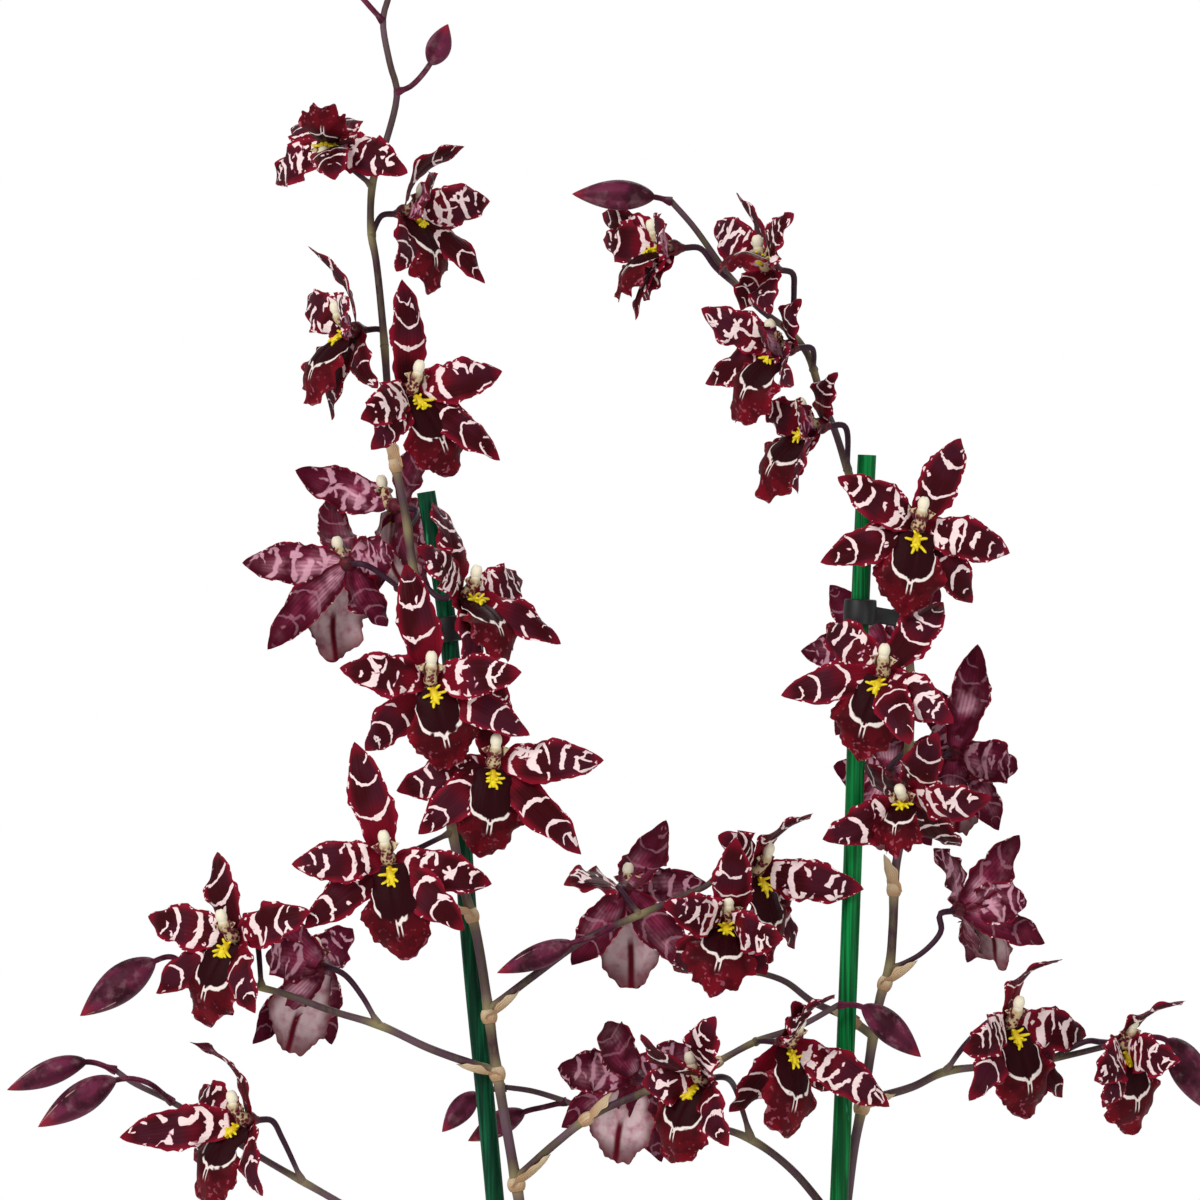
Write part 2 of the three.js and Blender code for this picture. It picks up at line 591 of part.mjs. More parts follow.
// A tepal's tip: on the sight line of its pixel, at the tepal's own length from the centre,
// on whichever side agrees with the way it would spread.
function tipOf(centre, pixel, length, wanted) {
  const own = pixel[2];
  if (own !== undefined) return at(pixel, centre.y + own);
  const level = at(pixel, centre.y);
  const short = level.distanceTo(centre);
  if (short >= length) return level;
  const rest = Math.sqrt(length * length - short * short);
  const near = at(pixel, centre.y - rest);
  const far = at(pixel, centre.y + rest);
  const agrees = (tip) => tip.clone().sub(centre).dot(wanted);
  return agrees(near) > agrees(far) ? near : far;
}

// An open bloom: hub, three sepals, two petals, lip with its callus, and column.
function bloomSolid(bloom, index) {
  const { face, up, right } = bloomAxes(bloom);
  const [u, v, depth] = bloom.seat;
  const seat = at([u, v], depth);
  const centre = seat.clone().addScaledVector(face, BLOOM.hubLength);
  const draw = draws(11 + index * 7);
  const pieces = [columnSolid(seat, centre, face, up)];
  for (const [part, { form, round, lean, back }] of Object.entries(SPREAD)) {
    const turn = round * DEGREE;
    const wanted = up.clone().multiplyScalar(Math.cos(turn)).addScaledVector(right, Math.sin(turn));
    wanted.multiplyScalar(Math.cos(lean * DEGREE)).addScaledVector(face, Math.sin(lean * DEGREE));
    const tip = bloom[part]
      ? tipOf(centre, bloom[part], form.length, wanted)
      : centre.clone().addScaledVector(wanted, form.length);
    const root = centre.clone().addScaledVector(face, back);
    root.addScaledVector(tip.clone().sub(centre).normalize(), BLOOM.claw);
    const phase = draw() * 2 * Math.PI;
    const twist = (draw() - 0.5) * BLOOM.twist;
    const place = { root, tip, facing: face, width: form.width, phase };
    if (part === "lip") {
      pieces.push(blade({ ...place, ...LIP, outline: fan }));
      pieces.push(...prongs(root, tip, face));
    } else {
      pieces.push(blade({ ...place, ...TEPAL, outline: pointed, twist }));
    }
  }
  return fuse(pieces);
}

// The ovary, the hub that the tepals grow from and the column, as one rod.
function columnSolid(seat, centre, face, up) {
  const { hubRadius, columnReach, columnRise, columnRadius, columnSides } = BLOOM;
  const from = (reach, rise) => centre.clone().addScaledVector(face, reach).addScaledVector(up, rise);
  const knots = [
    { place: seat, radius: PEDICEL.tipRadius + 0.2 },
    { place: from(-0.8, 0), radius: hubRadius },
    { place: from(2.4, 0.3), radius: hubRadius * 0.9 },
    { place: from(columnReach * 0.8, columnRise * 0.4), radius: columnRadius * 0.8 },
    { place: from(columnReach, columnRise * 0.8), radius: columnRadius * 1.1 },
    { place: from(columnReach * 1.05, columnRise), radius: columnRadius * 0.7 },
  ];
  const line = knots.map(({ place, radius }, i) => {
    const [before, after] = [knots[Math.max(0, i - 1)], knots[Math.min(knots.length - 1, i + 1)]];
    const tangent = i === 0 ? face : after.place.clone().sub(before.place).normalize();
    return { t: i, place, tangent, radius };
  });
  return rod(line, { start: 1, end: 1, sides: columnSides, swell: (t) => knots[t].radius });
}

// The two foremost prongs of the callus, standing on the lip.
function prongs(root, tip, face) {
  const axis = tip.clone().sub(root).normalize();
  const side = new THREE.Vector3().crossVectors(axis, face).normalize();
  const normal = new THREE.Vector3().crossVectors(side, axis);
  return [-1, 1].map((hand) => {
    const start = root.clone().lerp(tip, PRONG.along);
    start.addScaledVector(normal, PRONG.root).addScaledVector(side, hand * PRONG.apart);
    const end = start.clone().addScaledVector(normal, PRONG.length);
    end.addScaledVector(side, hand * PRONG.splay);
    return rod(straight(start, end), { start: 1, end: 0, sides: 3 });
  });
}

// A bud on its stalk: one rod that swells into a pointed ovoid towards the tip.
function budSolid(way, size) {
  const curve = through(way);
  const share = way[way.length - 1].distanceTo(way[way.length - 2]) / curve.getLength();
  const swell = (t) => {
    const along = (t - 1 + share) / share;
    return along <= 0 ? 1 : 1 + (BUD.radius * size - 1) * Math.sin(Math.PI * along ** 0.85);
  };
  // More of the steps fall within the bud than along its stalk.
  const warp = (t) => (t < 0.4 ? (t / 0.4) * (1 - share) : 1 - share + ((t - 0.4) / 0.6) * share);
  return rod(stations(curve, BUD.steps, warp), { start: 1, end: 0.9, sides: BUD.sides, swell });
}

// A spike: main stem, branches, pedicels, bracts and buds, grown as one piece.
function spikeSolid(name) {
  const main = stemLine(SPIKES[name]);
  const branches = Object.values(BRANCHES)
    .filter(({ spike }) => spike === name)
    .map(({ path }) => {
      const way = placed(path);
      way[0] = nearest(main, way[0]).place;
      return stations(through(way), BRANCH.steps);
    });
  // The nearest place on the stem or a branch, so that a stalk is rooted in it.
  const rooted = (point) =>
    [main, ...branches]
      .map((line) => nearest(line, point))
      .reduce((best, one) => (one.reach < best.reach ? one : best)).place;
  const pieces = [
    rod(main, { start: STEM.footRadius, end: STEM.tipRadius, sides: STEM.sides }),
    ...branches.map((line) =>
      rod(line, { start: BRANCH.rootRadius, end: BRANCH.tipRadius, sides: BRANCH.sides }),
    ),
  ];
  for (const { stalk, tip, size } of BUDS.filter(({ spike }) => spike === name)) {
    const way = placed([...stalk, tip]);
    way[0].copy(rooted(way[0]));
    pieces.push(budSolid(way, size));
  }
  for (const { base, tip, size } of BRACTS.filter(({ spike }) => spike === name)) {
    const [from, to] = placed([base, tip]);
    pieces.push(
      rod(straight(rooted(from), to), { start: BRACT.radius * size, end: 0, sides: BRACT.sides }),
    );
  }
  for (const bloom of BLOOMS.filter(({ spike }) => spike === name)) {
    const { face } = bloomAxes(bloom);
    const [seat] = placed([bloom.seat]);
    const way = placed(bloom.stalk);
    way[0].copy(rooted(way[0]));
    way.push(seat.clone().addScaledVector(face, -PEDICEL.approach));
    way.push(seat.clone().addScaledVector(face, -GAP));
    pieces.push(
      rod(stations(through(way), PEDICEL.steps), {
        start: PEDICEL.rootRadius, end: PEDICEL.tipRadius, sides: PEDICEL.sides,
      }),
    );
  }
  return fuse(pieces);
}

// A ring's outer or inner cylinder along a direction.
function drum(centre, direction, radius, height, sides = CLIP.sides) {
  const from = centre.clone().addScaledVector(direction, -height / 2);
  const to = centre.clone().addScaledVector(direction, height / 2);
  return rod(straight(from, to), { start: radius, end: radius, sides });
}

// A clip: a ring round the cane, a ring round the spike and the bar between them.
function clipSolid(onStake, onStem, stemRadius) {
  const [a, b] = [onStake.place, onStem.place];
  const [da, db] = [onStake.direction, onStem.direction];
  const boreA = STAKE.radius + CLIP.stakePlay;
  const boreB = stemRadius + CLIP.stemPlay;
  const between = new THREE.Vector3().subVectors(b, a);
  const bar = new THREE.BoxGeometry(CLIP.barWidth, between.length() - boreA, CLIP.barHeight);
  const along = between.clone().normalize();
  const flat = new THREE.Vector3().crossVectors(along, UP).normalize();
  const lift = new THREE.Vector3().crossVectors(flat, along);
  bar.applyMatrix4(new THREE.Matrix4().makeBasis(flat, along, lift));
  const middle = a.clone().lerp(b, 0.5);
  bar.translate(middle.x, middle.y, middle.z);
  return fuse([
    drum(a, da, boreA + CLIP.wall, CLIP.height),
    drum(b, db, boreB + CLIP.wall, CLIP.height),
    solid(bar),
  ])
    .subtract(drum(a, da, boreA, CLIP.height * 2))
    .subtract(drum(b, db, boreB, CLIP.height * 2));
}

// The pot: a closed profile turned about the axis, with drain holes round a flat centre.
function potSolid() {
  const { height, topRadius, baseRadius, wall, floor, rimHeight, rimOut, sides } = POT;
  const profile = [
    [0, 0],
    [baseRadius, 0],
    [topRadius - 1, height - rimHeight],
    [topRadius - 1 + rimOut, height - rimHeight],
    [topRadius + rimOut, height],
    [topRadius - wall + rimOut * 0.5, height],
    [baseRadius - wall, floor],
    [0, floor],
  ].map(([r, z]) => new THREE.Vector2(r, z));
  const turned = new THREE.LatheGeometry(profile, sides).rotateX(Math.PI / 2);
  let pot = solid(turned);
  for (let i = 0; i < POT.drains; i += 1) {
    const turn = (i / POT.drains) * 2 * Math.PI;
    const hole = new THREE.CylinderGeometry(POT.drainRadius, POT.drainRadius, floor * 4, 6);
    hole.rotateX(Math.PI / 2);
    hole.translate(POT.drainCircle * Math.cos(turn), POT.drainCircle * Math.sin(turn), 0);
    pot = pot.subtract(solid(hole));
  }
  return pot;
}

// The pot's inner radius at a height.
function innerRadius(z) {
  const low = POT.baseRadius - POT.wall;
  const high = POT.topRadius - POT.wall + POT.rimOut * 0.5;
  return low + ((high - low) * (z - POT.floor)) / (POT.height - POT.floor);
}

// The pseudobulbs: place in plan, turn about the upright and size.
const BULBS = [
  { x: -4, y: 16, turn: 10, size: 1 },
  { x: 24, y: 24, turn: 60, size: 0.86 },
  { x: -32, y: 20, turn: -30, size: 0.8 },
  { x: 4, y: -18, turn: -5, size: 0.92 },
];

function bulbCentre({ x, y, size }) {
  return new THREE.Vector3(x, y, MIX.top - BULB.sink + (BULB.height / 2) * size);
}

// One pseudobulb, a flattened egg; grow enlarges it all round.
function bulbSolid(bulb, grow = 0) {
  const egg = new THREE.SphereGeometry(1, BULB.sides, BULB.rings).rotateX(Math.PI / 2);
  const half = (size) => (size * bulb.size) / 2 + grow;
  egg.scale(half(BULB.width), half(BULB.thickness), half(BULB.height));
  const position = egg.getAttribute("position");
  for (let i = 0; i < position.count; i += 1) {
    const rise = position.getZ(i) / half(BULB.height);
    const slim = 1 - BULB.slim * rise;
    position.setXY(i, position.getX(i) * slim, position.getY(i) * slim);
  }
  egg.rotateZ(bulb.turn * DEGREE);
  const { x, y, z } = bulbCentre(bulb);
  return solid(egg.translate(x, y, z));
}

// Points whose two ends are moved outwards along their own runs.
function lengthen(points, extra) {
  const pushed = (end, next) =>
    end.clone().addScaledVector(end.clone().sub(next).normalize(), extra);
  const [inner, last] = points.slice(-2);
  return [pushed(points[0], points[1]), ...points.slice(1, -1), pushed(last, inner)];
}

// The rhizome that joins the pseudobulbs, just inside the mix.
function rhizomeSolid(grow = 0) {
  const depth = MIX.top - BULB.sink + RHIZOME.rise;
  const below = ({ x, y }) => new THREE.Vector3(x, y, depth);
  const way = lengthen([BULBS[2], BULBS[0], BULBS[1]].map(below), grow);
  const spur = lengthen([BULBS[0], BULBS[3]].map(below), grow);
  const radius = RHIZOME.radius + grow;
  const form = { start: radius, end: radius, sides: RHIZOME.sides };
  return fuse([rod(stations(through(way), 2), form), rod(stations(through(spur), 1), form)]);
}

const bulbsSolid = (grow = 0) =>
  fuse([...BULBS.map((bulb) => bulbSolid(bulb, grow)), rhizomeSolid(grow)]);

// The potting mix: a plug that fills the pot, its top rough with bark.
function mixSolid(stakes, spikes) {
  const reach = innerRadius(MIX.top) - MIX.play;
  const shares = Array.from({ length: MIX.rings + 1 }, (_, i) => 1 - i / MIX.rings);
  const bottom = POT.floor + GAP;
  const profile = [
    [0, bottom],
    [innerRadius(POT.floor) - MIX.play, bottom],
    ...shares.map((share) => [reach * share, MIX.top]),
  ];
  const plug = new THREE.LatheGeometry(
    profile.map(([r, z]) => new THREE.Vector2(r, z)),
    MIX.sides,
  ).rotateX(Math.PI / 2);
  const position = plug.getAttribute("position");
  for (let i = 0; i < position.count; i += 1) {
    const [x, y, z] = [position.getX(i), position.getY(i), position.getZ(i)];
    const bump = Math.sin(x * 0.9 + Math.cos(y * 0.7) * 2) * Math.cos(y * 1.1 + 1);
    const inside = Math.hypot(x, y) < reach - 1;
    if (z > MIX.top - 1 && inside) position.setZ(i, z + (MIX.relief / 2) * bump);
  }
  let mix = solid(plug).subtract(bulbsSolid(GAP * 1.5));
  for (const [line, thickness, play] of [
    ...stakes.map((line) => [line, STAKE.radius, GAP * 1.6]),
    ...spikes.map((line) => [line, STEM.footRadius, STEM.holePlay]),
  ]) {
    const way = line.filter(({ place }, i) => i === 0 || line[i - 1].place.z < MIX.top + 20);
    const foot = { ...way[0], place: way[0].place.clone().addScaledVector(way[0].tangent, -GAP) };
    const radius = thickness + play;
    mix = mix.subtract(rod([foot, ...way.slice(1)], { start: radius, end: radius, sides: 8 }));
  }
  return mix;
}

// The leaves: the bulb that each grows from, the way it leans, how far it reaches and rises,
// and how far its foot drops to meet the bulb's flat facets.
const LEAVES = [
  { bulb: 0, azimuth: 92, reach: 90, rise: 165, drop: 1.45 },
  { bulb: 0, azimuth: 268, reach: 52, rise: 176, drop: 1.75 },
  { bulb: 1, azimuth: 76, reach: 110, rise: 140, drop: 1.45 },
  { bulb: 1, azimuth: 8, reach: 130, rise: 110, drop: 0.55 },
  { bulb: 2, azimuth: 110, reach: 110, rise: 130, drop: 0.85 },
  { bulb: 2, azimuth: 172, reach: 150, rise: 80, drop: 1.55 },
  { bulb: 3, azimuth: 228, reach: 110, rise: 110, drop: 1.5 },
  { bulb: 3, azimuth: 316, reach: 120, rise: 90, drop: 0.95 },
];

// The height of a pseudobulb's surface at a distance from its axis, along an azimuth.
function bulbSurface(bulb, azimuth, distance) {
  const turn = (azimuth - bulb.turn) * DEGREE;
  const wide = (distance * Math.cos(turn)) / ((BULB.width / 2) * bulb.size);
  const thick = (distance * Math.sin(turn)) / ((BULB.thickness / 2) * bulb.size);
  let rise = 1;
  for (let i = 0; i < 6; i += 1) {
    const slim = 1 - BULB.slim * rise;
    rise = Math.sqrt(Math.max(0, 1 - Math.hypot(wide, thick) ** 2 / slim ** 2));
  }
  return bulbCentre(bulb).z + (BULB.height / 2) * bulb.size * rise;
}

// A strap leaf that arches away from the top of its pseudobulb.
function leafSolid(leaf, index) {
  const bulb = BULBS[leaf.bulb];
  const turn = leaf.azimuth * DEGREE;
  const out = new THREE.Vector3(Math.cos(turn), Math.sin(turn), 0);
  const height = bulbSurface(bulb, leaf.azimuth, LEAF.seat) + GAP - leaf.drop;
  const root = new THREE.Vector3(bulb.x, bulb.y, height);
  root.addScaledVector(out, LEAF.seat);
  const tip = root.clone().addScaledVector(out, leaf.reach);
  tip.z += leaf.rise;
  const facing = out.clone().multiplyScalar(-1).addScaledVector(UP, LEAF.lean);
  const bow = LEAF.arch * leaf.reach;
  return blade({ ...LEAF, root, tip, facing, outline: strap, bow, phase: index });
}

// The whole plant.
const orchid = new THREE.Group();
const stakes = { left: stakeLine(STAKES.left), right: stakeLine(STAKES.right) };
const stems = { left: stemLine(SPIKES.left), right: stemLine(SPIKES.right) };

orchid.add(meshOf("pot", potSolid(), POT_PLASTIC));
orchid.add(meshOf("bark_mix", mixSolid(Object.values(stakes), Object.values(stems)), MIX_BARK));
orchid.add(meshOf("pseudobulbs", bulbsSolid(), BULB_GREEN));
LEAVES.forEach((leaf, index) => {
  orchid.add(meshOf(`leaf_0${index + 1}`, leafSolid(leaf, index), LEAF_GREEN));
});

// Where the clips sit on cane and spike.
const CLIPS = {
  left: { stake: [448, 629, 3.5], stem: [422, 629, -4] },
  right: { stake: [860, 612, -3], stem: [905, 620, 6] },
};
for (const side of ["left", "right"]) {
  const { radius, sides } = STAKE;
  const cane = rod(stakes[side], { start: radius, end: radius, sides });
  orchid.add(meshOf(`stake_${side}`, cane, STAKE_GREEN));
  orchid.add(meshOf(`spike_${side}`, spikeSolid(side), SPIKE_BROWN));
  const [stakePoint, stemPoint] = placed([CLIPS[side].stake, CLIPS[side].stem]);
  const onStem = nearest(stems[side], stemPoint);
  const stemRadius = THREE.MathUtils.lerp(STEM.footRadius, STEM.tipRadius, onStem.t);
  const clip = clipSolid(nearest(stakes[side], stakePoint), onStem, stemRadius);
  orchid.add(meshOf(`clip_${side}`, clip, CLIP_BLACK));
}
BLOOMS.forEach((bloom, index) => {
  orchid.add(meshOf(bloom.name, bloomSolid(bloom, index), BLOOM_MAROON));
});

export default orchid;
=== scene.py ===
"""Looks of a potted odontoglossum orchid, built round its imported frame.

Two tall, branched flower spikes with maroon, pale-marked blooms stand in a plain pot of bark,
each tied by a clip to a green coated cane. Places and sizes are in millimetres, and each
finished mesh is brought to metres in the frame's own axes.
"""

import logging
import math
import random
from bisect import bisect_left
from dataclasses import dataclass, replace
from enum import Enum
from itertools import count
from typing import Callable, Iterator, Sequence

import bmesh
import bpy
from mathutils import Matrix, Vector, noise


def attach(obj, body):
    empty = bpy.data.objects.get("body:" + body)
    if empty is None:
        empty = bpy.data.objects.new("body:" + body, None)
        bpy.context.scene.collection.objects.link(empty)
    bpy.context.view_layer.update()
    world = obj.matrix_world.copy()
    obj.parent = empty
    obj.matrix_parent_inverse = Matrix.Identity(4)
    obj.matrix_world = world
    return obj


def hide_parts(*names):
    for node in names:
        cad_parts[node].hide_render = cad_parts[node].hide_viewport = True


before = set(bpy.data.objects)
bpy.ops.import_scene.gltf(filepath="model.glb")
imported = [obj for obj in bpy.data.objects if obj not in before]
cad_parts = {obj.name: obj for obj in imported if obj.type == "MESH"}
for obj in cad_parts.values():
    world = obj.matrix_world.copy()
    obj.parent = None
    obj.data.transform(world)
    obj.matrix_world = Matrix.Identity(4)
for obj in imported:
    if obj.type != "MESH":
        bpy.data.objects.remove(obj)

LOG = logging.getLogger("orchid")
MM = 0.001
DEGREE = math.pi / 180
UP = Vector((0, 0, 1))
INWARDS = Vector((0, 1, 0))
GAP = 0.3
BLOOM_SEED = 11
SEED_STEP = 7

Point = tuple[float, ...]
Socket = bpy.types.NodeSocket
Colour = tuple[float, float, float, float]
Material = bpy.types.Material


def add_object(name: str, data: bpy.types.ID) -> bpy.types.Object:
    """Adds an object to the scene.

    Args:
        name: Its name.
        data: The mesh, lamp or camera that it shows.

    Returns:
        The object.
    """
    made = bpy.data.objects.new(name, data)
    bpy.context.scene.collection.objects.link(made)
    return made


# The view that the places below are read from: a level camera in front, 1200 pixels square.


@dataclass(frozen=True)
class View:
    """The photograph's frame, and how its pixels become places."""

    middle: float = 600
    pixel: float = 0.35
    pot_axis: float = 685
    height: float = 570
    distance: float = 2200
    sensor: float = 36
    clip: Point = (0.05, 50)

    def _axis(self) -> float:
        """How far the camera stands to one side of the pot."""
        return (self.middle - self.pot_axis) * self.pixel

    def at(self, pixel: Point, extra: float = 0.0) -> Vector:
        """The place of a pixel.

        Args:
            pixel: The column and the row, and a depth behind the stems' plane if there is one.
            extra: A depth that is added to the pixel's own.

        Returns:
            The place in millimetres.
        """
        depth = (pixel[2] if len(pixel) > 2 else 0) + extra
        scale = self.pixel * (self.distance + depth) / self.distance
        x = self._axis() + (pixel[0] - self.middle) * scale
        return Vector((x, depth, self.height + (self.middle - pixel[1]) * scale))

    def path(self, pixels: Sequence[Point]) -> list[Vector]:
        """The places of several pixels."""
        return [self.at(pixel) for pixel in pixels]

    def make_camera(self) -> None:
        """Adds the level camera that the photograph was taken with."""
        camera = bpy.data.cameras.new("photo_camera")
        camera.sensor_width = self.sensor
        camera.lens = self.sensor * self.distance / (2 * self.middle * self.pixel)
        camera.clip_start, camera.clip_end = self.clip
        piece = add_object("photo_camera", camera)
        piece.location = Vector((self._axis(), -self.distance, self.height)) * MM
        piece.rotation_euler = (math.pi / 2, 0, 0)
        bpy.context.scene.camera = piece


VIEW = View()


def draws(seed: int) -> Iterator[float]:
    """Gives seeded draws between 0 and 1, without end.

    Args:
        seed: Where the draws begin.
    """
    factor, step, span = 1664525, 1013904223, 2**32
    while True:
        seed = (seed * factor + step) % span
        yield seed / span


def blend(low: float, high: float, value: float) -> float:
    """A smooth step from 0 at low to 1 at high."""
    share = min(1.0, max(0.0, (value - low) / (high - low)))
    return share * share * (3 - 2 * share)


# Lines


@dataclass(frozen=True)
class Station:
    """A stop on a line: its share of the length, place and direction."""

    t: float
    place: Vector
    tangent: Vector


class Curve:
    """A centripetal spline through points, walked by its length."""

    FINE = 240
    NUDGE = 1e-3

    def __init__(self, points: Sequence[Vector]) -> None:
        """Measures the spline through its points.

        Args:
            points: The points, in order.
        """
        self.points = [Vector(point) for point in points]
        samples = [self._raw(i / self.FINE) for i in range(self.FINE + 1)]
        self._walked = [0.0]
        for before, after in zip(samples, samples[1:]):
            self._walked.append(self._walked[-1] + (after - before).length)
        self.length = self._walked[-1]

    def _raw(self, t: float) -> Vector:
        """The place on the spline, not yet by its length.

        Args:
            t: The share of the points that is passed.

        Returns:
            The place.
        """
        points, last = self.points, len(self.points) - 1
        index = min(int(last * t), last - 1)
        weight = last * t - index
        p1, p2 = points[index], points[index + 1]
        p0 = points[index - 1] if index else points[0] * 2 - points[1]
        p3 = points[index + 2] if index + 2 <= last else points[last] * 2 - points[last - 1]
        d1 = max((p2 - p1).length_squared ** 0.25, 1e-4)
        d0 = (p1 - p0).length_squared ** 0.25 or d1
        d2 = (p3 - p2).length_squared ** 0.25 or d1
        leave = ((p1 - p0) / d0 - (p2 - p0) / (d0 + d1) + (p2 - p1) / d1) * d1
        reach = ((p2 - p1) / d1 - (p3 - p1) / (d1 + d2) + (p3 - p2) / d2) * d1
        bend = -3 * p1 + 3 * p2 - 2 * leave - reach
        turn = 2 * p1 - 2 * p2 + leave + reach
        return p1 + leave * weight + bend * weight**2 + turn * weight**3

    def place(self, share: float) -> Vector:
        """The place by the length.

        Args:
            share: The share of the length that is passed.

        Returns:
            The place.
        """
        want = share * self.length
        index = min(max(bisect_left(self._walked, want), 1), self.FINE)
        low, high = self._walked[index - 1], self._walked[index]
        part = (want - low) / (high - low) if high > low else 0
        return self._raw((index - 1 + part) / self.FINE)

    def share(self, t: float) -> float:
        """The share of the curve's points that is passed at a share of its length."""
        index = bisect_left(self._walked, t * self.length)
        return min(max(index, 1), self.FINE) / self.FINE

    def stations(self, steps: int, warp: Callable[[float], float] | None = None) -> list[Station]:
        """Stops along the curve.

        Args:
            steps: How many runs there are between the first stop and the last.
            warp: What moves the stops closer together or further apart.

        Returns:
            The stops, one more than the steps.
        """
        stops = []
        for step in range(steps + 1):
            t = warp(step / steps) if warp else step / steps
            ahead = self.place(min(1, t + self.NUDGE)) - self.place(max(0, t - self.NUDGE))
            stops.append(Station(t, self.place(t), ahead.normalized()))
        return stops


def straight(start: Vector, end: Vector, steps: int) -> list[Station]:
    """The stations of a straight line."""
    ahead = (end - start).normalized()
    return [Station(i / steps, start.lerp(end, i / steps), ahead) for i in range(steps + 1)]


def nearest(line: Sequence[Station], point: Vector) -> Station:
    """Finds the place on a line that is nearest to a point.

    Args:
        line: The line's stations.
        point: The point.

    Returns:
        The stop on the straight run that comes nearest.
    """
    stops = []
    for a, b in zip(line, line[1:]):
        run = b.place - a.place
        share = min(1.0, max(0.0, (point - a.place).dot(run) / run.length_squared))
        t = a.t + (b.t - a.t) * share
        stops.append(Station(t, a.place + run * share, run.normalized()))
    return min(stops, key=lambda stop: (stop.place - point).length)


# Meshes


class Maker:
    """One mesh in the making, in millimetres, with a growth value on every vertex.

    Growth holds the place across a blade (-1 to 1), along it (0 at the root) and a mark: 1 on
    a blade's back, or how near a joint is on a stem.
    """

    MERGE = 2e-4
    MARGIN = 0.999

    def __init__(self, name: str) -> None:
        """Starts an empty mesh.

        Args:
            name: The name of the piece.
        """
        self.name = name
        self.bm = bmesh.new()
        self.bm.verts.layers.float_vector.new("growth")
        self.done = self.bm.verts.layers.int.new("done")
        self.growth = self.bm.verts.layers.float_vector["growth"]

    def fresh(self) -> list[bmesh.types.BMVert]:
        """Finds what was added since this was last asked.

        Returns:
            The new vertices.
        """
        made = [vert for vert in self.bm.verts if not vert[self.done]]
        for vert in made:
            vert[self.done] = 1
        return made

    def grid(self, across: int, along: int) -> list[bmesh.types.BMVert]:
        """A flat grid from -1 to 1, whose vertices are then moved."""
        made = bmesh.ops.create_grid(self.bm, x_segments=across, y_segments=along, size=1)
        return made["verts"]

    def block(self) -> tuple[list[bmesh.types.BMVert], list[bmesh.types.BMEdge]]:
        """Adds a cube of size 1, and gives its vertices and its edges."""
        made = bmesh.ops.create_cube(self.bm, size=1)["verts"]
        return made, list(dict.fromkeys(edge for vert in made for edge in vert.link_edges))

    def sheet(
        self, across: int, along: int, shape: Callable[[float, float], Vector], mark: float = 0
    ) -> None:
        """Adds a sheet that a function bends.

        Args:
            across: Cells from margin to margin.
            along: Cells from root to tip.
            shape: Gives the place for a share across (-1 to 1) and along (0 to 1).
            mark: The third growth value.
        """
        for vert in self.grid(across, along):
            s, t = vert.co.x, (vert.co.y + 1) / 2
            vert[self.growth] = Vector((s, t, mark if abs(s) < self.MARGIN else 0))
            vert.co = shape(s, t)

    def tube(
        self,
        line: Sequence[Station],
        radius: Callable[[float, float], float],
        sides: int,
        mark: Callable[[float], float] | None = None,
    ) -> None:
        """Adds a tube along a line.

        Args:
            line: The stations that it runs through.
            radius: Gives the radius for a share of the length and a turn.
            sides: How many sides it has.
            mark: Gives the third growth value for a share of the length.
        """
        steps = len(line) - 1
        first = line[0].tangent
        normal = Vector((first.z, first.x, first.y))
        frames = []
        for stop in line:
            across = normal.cross(stop.tangent).normalized()
            normal = stop.tangent.cross(across)
            frames.append((stop, normal, across))
        for vert in self.grid(sides, steps):
            turn = -math.pi * (vert.co.x + 1)
            stop, out, across = frames[round((vert.co.y + 1) / 2 * steps)]
            reach = radius(stop.t, turn)
            vert[self.growth] = Vector((math.cos(turn), stop.t, mark(stop.t) if mark else 0))
            vert.co = stop.place + (out * math.cos(turn) + across * math.sin(turn)) * reach

    def turned(self, profile: Sequence[Point], sides: int) -> None:
        """Adds a closed profile of radius and height, turned about the upright axis.

        Args:
            profile: The radius and height of each corner.
            sides: How many sides the turned form has.
        """
        corners = [self.bm.verts.new((r, 0, z)) for r, z in profile]
        runs = [self.bm.edges.new(pair) for pair in zip(corners, corners[1:])]
        bmesh.ops.spin(
            self.bm, geom=corners + runs, axis=UP, cent=(0, 0, 0), steps=sides,
            angle=2 * math.pi, use_merge=True,
        )

    def finish(self, coat: Material, sharp: float = 50, close: bool = True) -> bpy.types.Object:
        """Closes the mesh and makes it an object in metres.

        Args:
            coat: The material.
            sharp: Edges that turn by more than this many degrees stay crisp.
            close: Whether open ends are capped.

        Returns:
            The object, at the origin.
        """
        bm = self.bm
        bmesh.ops.remove_doubles(bm, verts=bm.verts, dist=self.MERGE)
        if close:
            open_edges = [edge for edge in bm.edges if edge.is_boundary]
            bmesh.ops.holes_fill(bm, edges=open_edges, sides=0)
        bmesh.ops.recalc_face_normals(bm, faces=bm.faces)
        bmesh.ops.scale(bm, vec=(MM, MM, MM), verts=bm.verts)
        bm.verts.layers.int.remove(self.done)
        mesh = bpy.data.meshes.new(self.name)
        bm.to_mesh(mesh)
        bm.free()
        mesh.shade_smooth()
        mesh.set_sharp_from_angle(angle=sharp * DEGREE)
        mesh.materials.append(coat)
        return add_object(self.name, mesh)


def place_piece(piece: bpy.types.Object, node: str) -> None:
    """Puts a finished piece in a frame node's stead.

    Args:
        piece: The finished object.
        node: The frame node that it stands for.
    """
    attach(piece, "root")
    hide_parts(node)
    LOG.info("%s stands for %s, %d faces", piece.name, node, len(piece.data.polygons))


